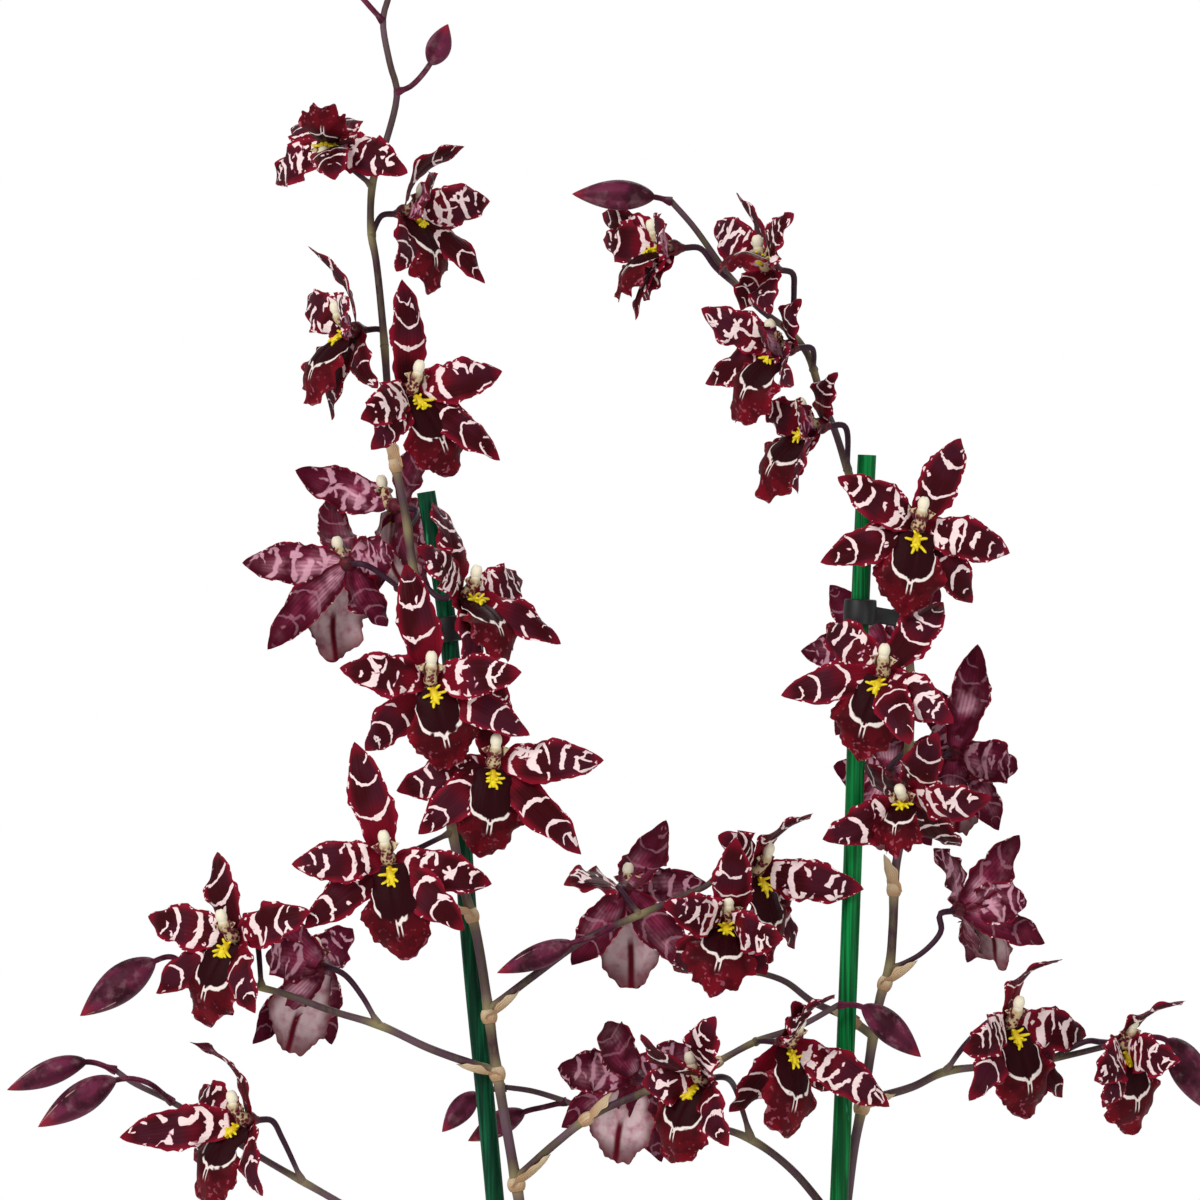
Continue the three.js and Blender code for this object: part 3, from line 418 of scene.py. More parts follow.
@dataclass(frozen=True)
class Blade:
    """The form of a thin grown blade, lens-shaped in section, with waved margins."""

    width: float
    thickness: float
    outline: Callable[[float], float]
    across: int
    along: int
    bow: float = 0
    cup: float = 0
    twist: float = 0
    wave: float = 0
    waves: float = 2
    ragged: float = 0
    phase: float = 0
    ruffle: float = 0
    ruffles: float = 5
    teeth: float = 0
    tooth_count: float = 20
    keel: float = 0
    keel_width: float = 0.14
    curl: float = 0
    curl_from: float = 0.6
    rounding: float = 0

    def brim(self, s: float, t: float, spot: Vector) -> Vector:
        """Where a place sideways, forwards and upwards on the blade comes by its margin."""
        return spot

    def grow(self, maker: Maker, root: Vector, tip: Vector, facing: Vector) -> None:
        """Adds the blade to a mesh.

        Args:
            maker: The mesh.
            root: Where it grows from.
            tip: Where it ends.
            facing: The way its front looks.
        """
        axis = (tip - root).normalized()
        length = (tip - root).length
        side = axis.cross(facing).normalized()
        normal = side.cross(axis)

        def place(s: float, t: float, face: int) -> Vector:
            """A place on the front (1) or the back (-1)."""
            turn = self.twist * t * DEGREE
            outwards = side * math.cos(turn) + normal * math.sin(turn)
            lift = normal * math.cos(turn) - side * math.sin(turn)
            ripple = math.sin((self.waves * t + 0.25 * s) * 2 * math.pi + self.phase)
            frill = math.sin((self.ruffles * t + 0.12 * s) * 2 * math.pi + 2.3 * self.phase)
            tooth = noise.noise(Vector((self.tooth_count * t, s, self.phase)))
            edge = 1 + self.ragged * ripple * s**4 + self.teeth * tooth * s**8
            half = self.width / 2 * self.outline(t) * edge
            free = math.sin(math.pi * t)
            held = min(1, 5 * t) * min(1, 6 * (1 - t))
            height = (self.wave * ripple - self.cup) * s * s * free
            height += self.ruffle * frill * abs(s) ** 3 * held
            height -= self.keel * math.exp(-((s / self.keel_width) ** 2)) * held
            skin = self.thickness / 2 * (1 - s * s) * min(1, 6 * t, 6 * (1 - t))
            along = t * (1 - self.rounding * s * s)
            bend = self.bow * free - self.curl * blend(self.curl_from, 1, t) ** 2
            spot = self.brim(s, t, Vector((s * half, length * along, height)))
            middle = root + axis * spot.y + normal * bend
            return middle + outwards * spot.x + lift * (spot.z + face * skin)

        for face in (1, -1):
            maker.sheet(
                self.across, self.along, lambda s, t, face=face: place(s, t, face), face < 0
            )


@dataclass(frozen=True)
class Apron(Blade):
    """A broad blade whose whole margin, its end included, is lobed, toothed and frilled."""

    frill: float = 1.3
    frills: float = 9
    lobe: float = 0.9
    tooth: float = 0.5
    middle: float = 14

    def brim(self, s: float, t: float, spot: Vector) -> Vector:
        """Lobes, teeth and frills round the margin, by the angle about the blade's middle.

        Args:
            s: The share across.
            t: The share along.
            spot: The place sideways, forwards and upwards.

        Returns:
            The place that it is moved to.
        """
        share = (1 - (1 - s**4) * (1 - t**6)) * min(1, 4 * t)
        out = Vector((spot.x, spot.y - self.middle, 0))
        angle = math.atan2(out.x, out.y)
        out.normalize()
        jitter = 0.5 * math.sin(self.phase)
        lobes = math.cos(4 * angle + jitter) + 0.5 * math.sin(9 * angle + self.phase)
        uneven = noise.noise(Vector((angle * 3, self.phase, 0)))
        teeth = 2 * noise.noise(Vector((angle * 8, 3, self.phase)))
        push = self.lobe * lobes * share**2 + self.tooth * teeth * share**6
        wave = math.sin(self.frills * angle + 1.7 * self.phase) + 0.5 * uneven
        return spot + out * push + UP * (self.frill * wave * share**2)


def lance(t: float) -> float:
    """The half-width of a tepal, 1 at the widest."""
    foot = 0.34 * (1 - t) ** 3 * blend(-0.01, 0.03, t)
    return max(0, math.sin(math.pi * t)) ** 0.8 + foot


def strap(t: float) -> float:
    """The half-width of a leaf, 1 at the widest."""
    return min(1, 0.2 + 3 * t) * max(0, min(1, 3 * (1 - t))) ** 0.7


def fan(t: float) -> float:
    """The half-width of the lip, 1 at the widest."""
    disc = 0.42 + 0.3 * blend(-0.05, 0.4, t)
    return (disc + 0.28 * blend(0.36, 0.68, t) - 0.2 * blend(0.72, 1.1, t)) * blend(-0.01, 0.03, t)


def scale_leaf(t: float) -> float:
    """The half-width of a bract, 1 at the foot."""
    return max(0, 1 - t) ** 0.6


# Finishes


def colour(code: str) -> Colour:
    """The linear colour of a six-digit screen colour."""
    parts = [int(code[i : i + 2], 16) / 255 for i in (0, 2, 4)]
    return (*(c / 12.92 if c <= 0.04045 else ((c + 0.055) / 1.055) ** 2.4 for c in parts), 1.0)


def sign(operation: str) -> Callable[..., "Value"]:
    """What a sign between two values stands for.

    Args:
        operation: The calculation.

    Returns:
        The method that adds its node.
    """

    def reckon(value: "Value", other: object = 0.0) -> "Value":
        """The calculation of one or two values."""
        return value.wires.add("ShaderNodeMath", {0: value, 1: other}, operation=operation)

    return reckon


class Value:
    """What a node puts out, reckoned with by the usual signs, where | is the greater of two."""

    __add__ = __radd__ = sign("ADD")
    __sub__ = sign("SUBTRACT")
    __mul__ = sign("MULTIPLY")
    __truediv__ = sign("DIVIDE")
    __pow__ = sign("POWER")
    __or__ = sign("MAXIMUM")
    __abs__ = sign("ABSOLUTE")
    cosine = sign("COSINE")

    def __init__(self, wires: "Wires", socket: Socket) -> None:
        """Takes an output socket and the wires of its tree."""
        self.wires = wires
        self.socket = socket

    def step(self, low: float, high: float) -> "Value":
        """A smooth step from 0 at low to 1 at high, which may be lower than low."""
        feeds = {0: self, 1: low, 2: high}
        return self.wires.add("ShaderNodeMapRange", feeds, interpolation_type="SMOOTHSTEP")

    def stretched(self, scale: Point) -> "Value":
        """Coordinates that are scaled along each axis."""
        return self.wires.add("ShaderNodeMapping", {"Vector": self, "Scale": scale})

    def noise(self, scale: object, detail: float, rough: float = 0.5) -> "Value":
        """Noise between 0 and 1 at these coordinates."""
        feeds = {"Vector": self, "Scale": scale, "Detail": detail, "Roughness": rough}
        return self.wires.add("ShaderNodeTexNoise", feeds)

    def cells(self, scale: object, feature: str) -> "Value":
        """The distance to a feature of irregular cells at these coordinates."""
        feeds = {"Vector": self, "Scale": scale}
        return self.wires.add("ShaderNodeTexVoronoi", feeds, "Distance", feature=feature)

    def grain(self, scale: float) -> "Value":
        """Fine unevenness at these coordinates."""
        return self.wires.group(Effect.FINE_GRAIN, Vector=self, Scale=scale)

    def veins(self, count: float) -> "Value":
        """Veins along a blade, counted from its keel to its margin, for its place across."""
        return self.wires.group(Effect.LONG_VEINS, Across=self, Count=count)


def paint(ground: object, *layers: tuple[Value, object]) -> Value:
    """Lays colours over each other.

    Args:
        ground: The lowest colour.
        layers: The share of each further colour, and that colour.

    Returns:
        The colour that they make.
    """
    for share, layer in layers:
        feeds = {0: share, 6: ground, 7: layer}
        ground = share.wires.add("ShaderNodeMix", feeds, 2, data_type="RGBA")
    return ground


class Wires:
    """Short calls that build one node tree."""

    def __init__(self, tree: bpy.types.NodeTree) -> None:
        """Takes the tree to build in."""
        self.tree = tree

    def put(self, value: object, socket: Socket) -> None:
        """Feeds a socket.

        Args:
            value: A value of the tree, a colour's code or a number.
            socket: The input.
        """
        if isinstance(value, Value):
            self.tree.links.new(value.socket, socket)
        else:
            socket.default_value = colour(value) if isinstance(value, str) else value

    def add(
        self, kind: str, feeds: dict[object, object], output: object = 0, **settings: object
    ) -> Value:
        """Adds a node.

        Args:
            kind: The node's type.
            feeds: What goes into its inputs.
            output: The output that is wanted.
            settings: The node's own settings.

        Returns:
            What the node puts out.
        """
        node = self.tree.nodes.new(kind)
        for key, value in settings.items():
            setattr(node, key, value)
        for key, value in feeds.items():
            self.put(value, node.inputs[key])
        return Value(self, node.outputs[output])

    def group(self, effect: "Effect", **feeds: object) -> Value:
        """Places a shared effect."""
        return self.add("ShaderNodeGroup", feeds, node_tree=effect.tree())

    def place(self) -> Value:
        """The object's own coordinates."""
        return self.add("ShaderNodeTexCoord", {}, "Object")

    def growth(self) -> list[Value]:
        """Reads what the mesh carries.

        Returns:
            The place across, the place along and the mark.
        """
        carried = self.add("ShaderNodeAttribute", {}, "Vector", attribute_name="growth")
        parts = self.add("ShaderNodeSeparateXYZ", {0: carried}).socket.node
        return [Value(self, socket) for socket in parts.outputs]


class Effect(Enum):
    """The effects that finishes share, each built once, as a node group by the method of its name."""

    FINE_GRAIN = "fine_grain"
    PALE_ARC = "pale_arc"
    PALE_NET = "pale_net"
    LONG_VEINS = "long_veins"
    SPECKLES = "speckles"

    def tree(self) -> bpy.types.NodeTree:
        """The effect's node group."""
        found = bpy.data.node_groups.get(self.value)
        return found or getattr(self, f"_{self.value}")()

    def _start(self, *names: str) -> list[Value]:
        """Begins the group.

        Args:
            names: The names of its inputs, where Vector is a vector and any other a number.

        Returns:
            The inputs.
        """
        tree = bpy.data.node_groups.new(self.value, "ShaderNodeTree")
        for name in names:
            kind = "NodeSocketVector" if name == "Vector" else "NodeSocketFloat"
            tree.interface.new_socket(name, in_out="INPUT", socket_type=kind)
        tree.interface.new_socket("Value", in_out="OUTPUT", socket_type="NodeSocketFloat")
        entry = tree.nodes.new("NodeGroupInput")
        wires = Wires(tree)
        return [Value(wires, entry.outputs[name]) for name in names]

    def _end(self, value: Value) -> bpy.types.NodeTree:
        """Sends a value out of the group.

        Args:
            value: What the group gives.

        Returns:
            The finished group.
        """
        tree = value.wires.tree
        tree.links.new(value.socket, tree.nodes.new("NodeGroupOutput").inputs[0])
        return tree

    def _fine_grain(self) -> bpy.types.NodeTree:
        """Cell-sized unevenness, between 0 and 1."""
        place, scale = self._start("Vector", "Scale")
        return self._end((place.noise(scale, 3, 0.6) + place.noise(scale * 6, 2)) * 0.5)

    def _pale_arc(self) -> bpy.types.NodeTree:
        """A bracket across a blade that opens towards the tip, 1 on its line."""
        across, along, place, bend, width = self._start("Across", "Along", "Place", "Bend", "Width")
        off = abs(along - (place + across * across * bend))
        return self._end((off / width).step(1.15, 0.55))

    def _pale_net(self) -> bpy.types.NodeTree:
        """A net of lines between irregular blotches, 1 on its lines."""
        across, along, shift, width = self._start("Across", "Along", "Shift", "Width")
        feeds = {0: across * 1.15, 1: along * 5.2, 2: shift}
        edge = across.wires.add("ShaderNodeCombineXYZ", feeds).cells(1, "DISTANCE_TO_EDGE")
        return self._end((edge / width).step(1.2, 0.5))

    def _long_veins(self) -> bpy.types.NodeTree:
        """Fine veins along a blade, 1 on a vein."""
        across, count = self._start("Across", "Count")
        return self._end(abs((across * count * math.pi).cosine()) ** 3)

    def _speckles(self) -> bpy.types.NodeTree:
        """Round specks, 1 in a speck."""
        place, scale, size = self._start("Vector", "Scale", "Size")
        reach = (place.noise(scale * 0.4, 1) + 0.1) * size
        return self._end((place.cells(scale, "F1") / reach).step(1.1, 0.7))


class Coat(Wires):
    """A material in the making."""

    def __init__(self, name: str, **constants: object) -> None:
        """Starts a material.

        Args:
            name: The material's name.
            constants: Values set on the shader's own sockets, spaces written as underscores.
        """
        self.material = bpy.data.materials.new(name)
        self.material.use_nodes = True
        super().__init__(self.material.node_tree)
        self.shader = self.tree.nodes["Principled BSDF"]
        for key, value in constants.items():
            self.shader.inputs[key.replace("_", " ")].default_value = value

    def dress(
        self, base: Value, rough: object, relief: Value | None = None, depth: float = 0.2,
        strength: float = 0.5,
    ) -> Material:
        """Feeds the shader.

        Args:
            base: The colour.
            rough: The roughness.
            relief: The height of the surface, if it isn't smooth.
            depth: The full range of that height, in millimetres.
            strength: How much the relief turns the light.

        Returns:
            The material.
        """
        self.put(base, self.shader.inputs["Base Color"])
        self.put(rough, self.shader.inputs["Roughness"])
        if relief:
            feeds = {"Height": relief, "Strength": strength, "Distance": depth * MM}
            self.put(self.add("ShaderNodeBump", feeds), self.shader.inputs["Normal"])
        return self.material


@dataclass(frozen=True)
class Arc:
    """A bracket across a tepal: its place, bend and width along it, and how much is missing."""

    place: float
    bend: float
    width: float
    missing: float


SEPAL_ARCS = (
    Arc(0.34, 0.13, 0.02, 0.34), Arc(0.6, 0.14, 0.02, 0.34), Arc(0.8, 0.1, 0.012, 0.5),
)
PETAL_ARCS = (
    Arc(0.14, 0.05, 0.034, 0.42), Arc(0.31, 0.1, 0.044, 0.42), Arc(0.46, -0.06, 0.022, 0.5),
    Arc(0.61, 0.12, 0.032, 0.44), Arc(0.77, 0.08, 0.018, 0.47),
)


@dataclass(frozen=True)
class TepalFinish:
    """Deep maroon with broken cream-pink brackets and blotches and a specked margin, with a painted
    sheen and a painted highlight on the back.
    """

    name: str
    arcs: tuple[Arc, ...]
    net: float
    foot: float
    deep: str = "3c050e"
    red: str = "72081d"
    dusky: str = "461222"
    rim: str = "94102b"
    cream: str = "fae2e0"
    pink: str = "c6708e"
    # The back's colours: its dark ground, its painted sheen, and its painted highlight, which also
    # colours its pale marks.
    back_dark: str = "520b22"
    back_pale: str = "a83e62"
    back_highlight_and_marks: str = "ecb0c4"

    def _marks(self, coat: Coat, across: Value, along: Value) -> Value:
        """Draws the pale marks.

        Args:
            coat: The material.
            across: The place across the tepal.
            along: The place along it.

        Returns:
            A value that is 1 in a mark.
        """
        place = coat.place()
        slow, quick = place.noise(55, 1) - 0.5, place.noise(330, 2) - 0.5
        sway, shake = slow * 0.3, quick * 0.085
        warped = along + sway + shake
        lean = across + shake * 3 + sway
        swell = 0.35 + place.noise(240, 1) * 1.3
        marks = 0.0
        for number, arc in enumerate(self.arcs):
            line = coat.group(
                Effect.PALE_ARC, Across=lean, Along=warped, Place=arc.place, Bend=arc.bend,
                Width=swell * arc.width,
            )
            whole = place.noise(120 + 17 * number, 1)
            marks = line * whole.step(arc.missing - 0.03, arc.missing + 0.03) | marks
        net = coat.group(Effect.PALE_NET, Across=lean, Along=warped, Shift=slow * 3, Width=0.1)
        gate = place.noise(150, 1).step(0.66 - 0.2 * self.net, 0.7 - 0.2 * self.net)
        blots = place.noise(300, 2).step(0.56, 0.64) * along.step(self.foot, self.foot * 0.5)
        return marks | net * gate | blots

    def material(self) -> Material:
        """Builds the tepal material."""
        coat = Coat(self.name, Specular_IOR_Level=0.07)
        across, along, back = coat.growth()
        place = coat.place()
        slow, quick = place.noise(70, 1), place.noise(170, 2)
        size = abs(across)
        inner = size.step(0.93, 0.82) * along.step(0.06, 0.14) * along.step(0.97, 0.9)
        margin = size.step(0.84, 0.93) * along.step(0.1, 0.3)
        specks = place.noise(620, 1).step(0.6, 0.66) * margin * 0.9
        marks = self._marks(coat, across, along) * inner | specks
        veins, grain = across.veins(5), place.grain(700)
        edge = size.step(0.62, 1) | along.step(0.84, 1)
        body = paint(
            self.red, (along.step(0.3, 0.55), self.dusky), (slow.step(0.4, 0.6), self.deep),
            (edge * 0.8, self.rim), (veins * 0.15, self.deep),
        )
        pale = paint(self.pink, (marks.step(0.45, 0.8), self.cream))
        # The flush on the back is painted sheen. The paler back colour is laid in cloudy patches over
        # the middle, strongest towards the root, with a brighter painted highlight inside it where
        # the slow noise is high.
        flush = size.step(0.9, 0.1) * along.step(1, 0.1) * quick.step(0.3, 0.66)
        rear = paint(
            self.back_dark, (flush, self.back_pale),
            (flush * slow.step(0.46, 0.62), self.back_highlight_and_marks), (veins * 0.4, self.back_dark),
            (marks * (0.25 + 1.2 * self.net), self.back_highlight_and_marks),
        )
        base = paint(body, (marks.step(0.3, 0.6), pale), (back.step(0.2, 0.8), rear))
        return coat.dress(base, 0.46 + grain * 0.16, veins * 0.35 + grain * 0.5, 0.3, 0.6)


@dataclass(frozen=True)
class LipFinish:
    """A near-black disc framed by a white line, and a dark red toothed apron."""

    disc: str = "2a030a"
    apron: str = "4e0510"
    bright: str = "800c1e"
    white: str = "f6e8e1"
    speck: str = "c06a7c"
    back_pale: str = "e2c6c9"
    back_pink: str = "b4657c"
    back_dark: str = "640c20"

    def material(self) -> Material:
        """Builds the lip material."""
        coat = Coat("lip", Specular_IOR_Level=0.07)
        across, along, back = coat.growth()
        place = coat.place()
        quick = place.noise(300, 2) - 0.5
        warped = along + quick * 0.07
        size = abs(across)
        square = size * size
        line = coat.group(
            Effect.PALE_ARC, Across=square, Along=warped + size.step(0.16, 0) * -0.05,
            Place=0.58, Bend=-0.36, Width=(0.4 + place.noise(200, 1) * 1.2) * 0.026,
        )
        line = line * place.noise(210, 1).step(0.34, 0.42)
        strokes = along.step(0.57, 0.6) * warped.step(0.78, 0.7)
        strokes = abs(size - 0.06).step(0.028, 0.012) * strokes
        inside = warped + square * square * 0.36
        grain, veins = place.grain(600), across.veins(6)
        outer = along.step(0.6, 1) * 0.7 | size.step(0.7, 1) * inside.step(0.57, 0.67)
        tone = place.noise(160, 3).step(0.42, 0.6) * 0.55
        specks = place.noise(560, 1).step(0.62, 0.68) * outer * 0.7
        front = paint(
            self.disc, (inside.step(0.55, 0.62), self.apron), (outer, self.bright),
            (tone, self.disc), (specks, self.speck), (line | strokes, self.white),
        )
        brim = size.step(0.6, 1) | along.step(0.7, 1)
        streak = size.step(0.16, 0.04) * warped.step(0.45, 0.62)
        rear = paint(
            self.back_pale, (quick.step(-0.12, 0.4), self.back_pink),
            (brim * 0.85, self.back_dark), (streak, self.back_dark),
        )
        base = paint(front, (back.step(0.2, 0.8), rear))
        return coat.dress(base, 0.42 + grain * 0.2, veins * 0.12 + grain, 0.3, 0.6)


@dataclass(frozen=True)
class ColumnFinish:
    """Beige flecked with maroon, darker at the foot, with a cream-white cap at the end."""

    beige: str = "cbb58c"
    cream: str = "f5ecd2"
    fleck: str = "641424"
    foot: str = "3c0e1a"

    def material(self) -> Material:
        """Builds the column material."""
        coat = Coat("column", Specular_IOR_Level=0.25)
        _, along, _ = coat.growth()
        place = coat.place()
        flecks = coat.group(Effect.SPECKLES, Vector=place, Scale=800, Size=1)
        grain = place.grain(900)
        base = paint(
            self.foot, (along.step(0.3, 0.5), self.beige),
            (flecks * along.step(0.9, 0.75), self.fleck), (along.step(0.84, 0.95), self.cream),
        )
        return coat.dress(base, 0.4 + grain * 0.2, grain)


@dataclass(frozen=True)
class CallusFinish:
    """Waxy yellow, brown-flecked at the foot."""

    yellow: str = "f3dc1e"
    deep: str = "a8680e"

    def material(self) -> Material:
        """Builds the callus material."""
        coat = Coat("callus", Specular_IOR_Level=0.3)
        _, along, _ = coat.growth()
        place = coat.place()
        base = paint(self.yellow, (place.noise(500, 2) * along.step(0.8, 0.1), self.deep))
        return coat.dress(base, 0.35, place.grain(1200), 0.15)


@dataclass(frozen=True)
class StemFinish:
    """Purple-brown and grey, mottled with olive, paler at the joints, dark on the pedicels."""

    brown: str = "42262f"
    olive: str = "554b36"
    grey: str = "634955"
    joint: str = "9d9264"
    dark: str = "38162a"

    def material(self) -> Material:
        """Builds the stem material."""
        coat = Coat("stem", Specular_IOR_Level=0.25)
        _, _, joint = coat.growth()
        place = coat.place()
        long_place = place.stretched((1, 1, 0.3))
        mottle = long_place.noise(260, 3, 0.6)
        grain = long_place.grain(1400)
        spots = coat.group(Effect.SPECKLES, Vector=long_place, Scale=650, Size=0.8)
        base = paint(
            self.brown, (place.noise(30, 2).step(0.35, 0.65), self.grey),
            (mottle.step(0.52, 0.72), self.olive), (spots * 0.5, self.olive),
            (joint * 0.7, self.joint), (joint.step(-0.1, -0.9), self.dark),
        )
        return coat.dress(base, 0.42 + grain * 0.25, grain, 0.25)


@dataclass(frozen=True)
class BudFinish:
    """Dusky reddish purple, mottled with a paler tone, with pale seams and a red tip."""

    dark: str = "380b1c"
    dusk: str = "6a2340"
    mottle: str = "8c646c"
    flush: str = "8e1f34"
    seam: str = "c9a49c"

    def material(self) -> Material:
        """Builds the bud material."""
        coat = Coat("bud", Specular_IOR_Level=0.12)
        across, along, _ = coat.growth()
        place = coat.place()
        patch, grain = place.noise(210, 3, 0.6), place.grain(1000)
        seam = abs(across - 0.35).step(0.05, 0.015) * along.step(0.6, 0.75) * patch.step(0.42, 0.52)
        base = paint(
            self.dark, (place.noise(120, 3, 0.6).step(0.36, 0.6), self.dusk),
            (patch.step(0.5, 0.68) * 0.45, self.mottle),
            (abs(across).step(0.9, 1) * 0.6, self.dark), (along.step(0.84, 0.97), self.flush),
            (seam, self.seam),
        )
        return coat.dress(base, 0.4 + grain * 0.2, grain, 0.25)


@dataclass(frozen=True)
class PaperFinish:
    """Dry tan sheath, veined and translucent-looking at the tip."""

    tan: str = "c39a73"
    pale: str = "e3cba6"
    brown: str = "8a6247"

    def material(self) -> Material:
        """Builds the bract material."""
        coat = Coat("papery_bract", Specular_IOR_Level=0.25)
        across, along, _ = coat.growth()
        veins, grain = across.veins(7), coat.place().grain(500)
        base = paint(
            self.tan, (along.step(0.1, 0.9), self.pale), (veins * 0.35, self.brown),
            (grain.step(0.58, 0.7), self.brown),
        )
        return coat.dress(base, 0.7, veins + grain, 0.3, 0.6)


@dataclass(frozen=True)
class LeafFinish:
    """Mid green with parallel veins and a paler keel."""

    name: str = "leaf"
    green: str = "2f6121"
    light: str = "6f9440"
    yellow: str = "a3a653"
    count: float = 14

    def material(self) -> Material:
        """Builds the leaf material."""
        coat = Coat(self.name, Specular_IOR_Level=0.45)
        across, along, back = coat.growth()
        place = coat.place()
        veins, grain = across.veins(self.count), place.grain(500)
        ends = along.step(0.06, 0) | along.step(0.96, 1)
        base = paint(
            self.green, (place.noise(35, 3).step(0.35, 0.7), self.light),
            (abs(across).step(0.1, 0.02) * 0.6, self.light), (veins * 0.3, self.light),
            (back * 0.35, self.light), (ends, self.yellow),
        )
        return coat.dress(base, 0.34 + grain * 0.22, veins + grain * 0.5, 0.3)


@dataclass(frozen=True)
class StakeFinish:
    """Glossy dark green coating with fine streaks and scuffs."""

    name: str
    green: str = "024a22"
    light: str = "058c42"
    scuff: str = "2f9060"

    def material(self) -> Material:
        """Builds the cane's coating."""
        coat = Coat(self.name, Specular_IOR_Level=0.12, Coat_Weight=0.04)
        place = coat.place()
        streaks = place.stretched((1, 1, 0.02)).noise(900, 3)
        worn = place.stretched((1, 1, 0.2)).noise(260, 3, 0.6)
        base = paint(
            self.green, (streaks.step(0.4, 0.7), self.light), (worn.step(0.68, 0.76), self.scuff)
        )
        return coat.dress(base, 0.24 + worn * 0.25, streaks + place.grain(600) * 0.4)


@dataclass(frozen=True)
class PlasticFinish:
    """Moulded dark plastic, faintly grained and dusted."""

    name: str
    tone: str
    dust: str
    shine: float

    def material(self) -> Material:
        """Builds the plastic material."""
        coat = Coat(self.name, Specular_IOR_Level=0.5)
        place = coat.place()
        film = place.noise(45, 4, 0.6)
        base = paint(self.tone, (film.step(0.3, 0.9) * 0.3, self.dust))
        return coat.dress(base, self.shine + film * 0.2, place.grain(900), 0.12)


@dataclass(frozen=True)
class BarkFinish:
    """Layered red-brown bark with pale broken faces."""

    dark: str = "3a2114"
    brown: str = "7a4c2c"
    pale: str = "b58a5c"

    def material(self) -> Material:
        """Builds the bark material."""
        coat = Coat("bark", Specular_IOR_Level=0.2)
        place = coat.place()
        layers, grain = place.stretched((1, 1, 4)).noise(220, 4, 0.65), place.grain(450)
        base = paint(
            self.dark, (layers.step(0.35, 0.62), self.brown),
            (place.noise(70, 2).step(0.55, 0.7), self.pale), (grain.step(0.45, 0.3), self.dark),
        )
        return coat.dress(base, 0.9, layers + grain, 1, 0.8)


@dataclass(frozen=True)
class FloorFinish:
    """Plain pale ground."""

    tone: str = "fbfbfa"
    shade: str = "dcdcd8"

    def material(self) -> Material:
        """Builds the floor's material."""
        coat = Coat("pale_floor", Specular_IOR_Level=0.1)
        film = coat.place().noise(4, 2)
        return coat.dress(paint(self.tone, (film * 0.03, self.shade)), 0.8)


# The pot, the mix and what grows in it


@dataclass
class Pot:
    """The plain tapered pot, with a rolled rim and drain holes."""

    height: float = 112
    top_radius: float = 59
    base_radius: float = 44
    wall: float = 2.2
    floor: float = 3
    rim_height: float = 10
    rim_out: float = 2.2
    drains: int = 6
    drain_radius: float = 4
    drain_circle: float = 31
    drain_sides: int = 20
    foot_ring: float = 9
    recess: float = 1.2
    sides: int = 96

    def inner_radius(self, z: float) -> float:
        """The inner radius at a height.

        Args:
            z: The height.

        Returns:
            The radius.
        """
        low = self.base_radius - self.wall
        high = self.top_radius - self.wall + self.rim_out * 0.5
        return low + (high - low) * (z - self.floor) / (self.height - self.floor)

    def build(self, coat: Material) -> None:
        """Makes the pot.

        Args:
            coat: The plastic.
        """
        maker = Maker("pot_shell")
        foot, top, rim = self.base_radius, self.height, self.height - self.rim_height
        outer = self.top_radius - 1
        lip = outer + self.rim_out
        inside = self.inner_radius(top)
        # From the middle of the underside out, up the wall, over the rim and down inside.
        profile = [
            (0, self.recess), (foot - self.foot_ring, self.recess), (foot - 7.5, 0),
            (foot - 1, 0), (foot, 1), (outer - 0.3, rim - 1.2), (outer + 0.2, rim - 0.3),
            (lip - 0.5, rim), (lip, rim + 0.6), (lip + 1, top - 1), (lip + 0.6, top - 0.2),
            (lip, top), (inside + 0.8, top), (inside, top - 0.8), (foot - self.wall, self.floor),
            (0, self.floor),
        ]
        maker.turned(profile, self.sides)
        piece = maker.finish(coat, sharp=35, close=False)
        self._drill(piece)
        place_piece(piece, "pot")

    def _drill(self, piece: bpy.types.Object) -> None:
        """Cuts the drain holes through the floor.

        Args:
            piece: The pot.
        """
        drill = bmesh.new()
        for i in range(self.drains):
            turn = i / self.drains * 2 * math.pi
            spot = Vector((math.cos(turn), math.sin(turn), 0)) * self.drain_circle
            bmesh.ops.create_cone(
                drill, cap_ends=True, segments=self.drain_sides, radius1=self.drain_radius,
                radius2=self.drain_radius, depth=self.floor * 4, matrix=Matrix.Translation(spot),
            )
        bmesh.ops.scale(drill, vec=(MM, MM, MM), verts=drill.verts)
        mesh = bpy.data.meshes.new("drill")
        drill.to_mesh(mesh)
        drill.free()
        cutter = add_object("drill", mesh)
        cut = piece.modifiers.new("drains", "BOOLEAN")
        cut.object, cut.operation, cut.solver = cutter, "DIFFERENCE", "EXACT"
        graph = bpy.context.evaluated_depsgraph_get()
        drilled = bpy.data.meshes.new_from_object(piece.evaluated_get(graph))
        piece.modifiers.clear()
        piece.data = drilled
        bpy.data.objects.remove(cutter)


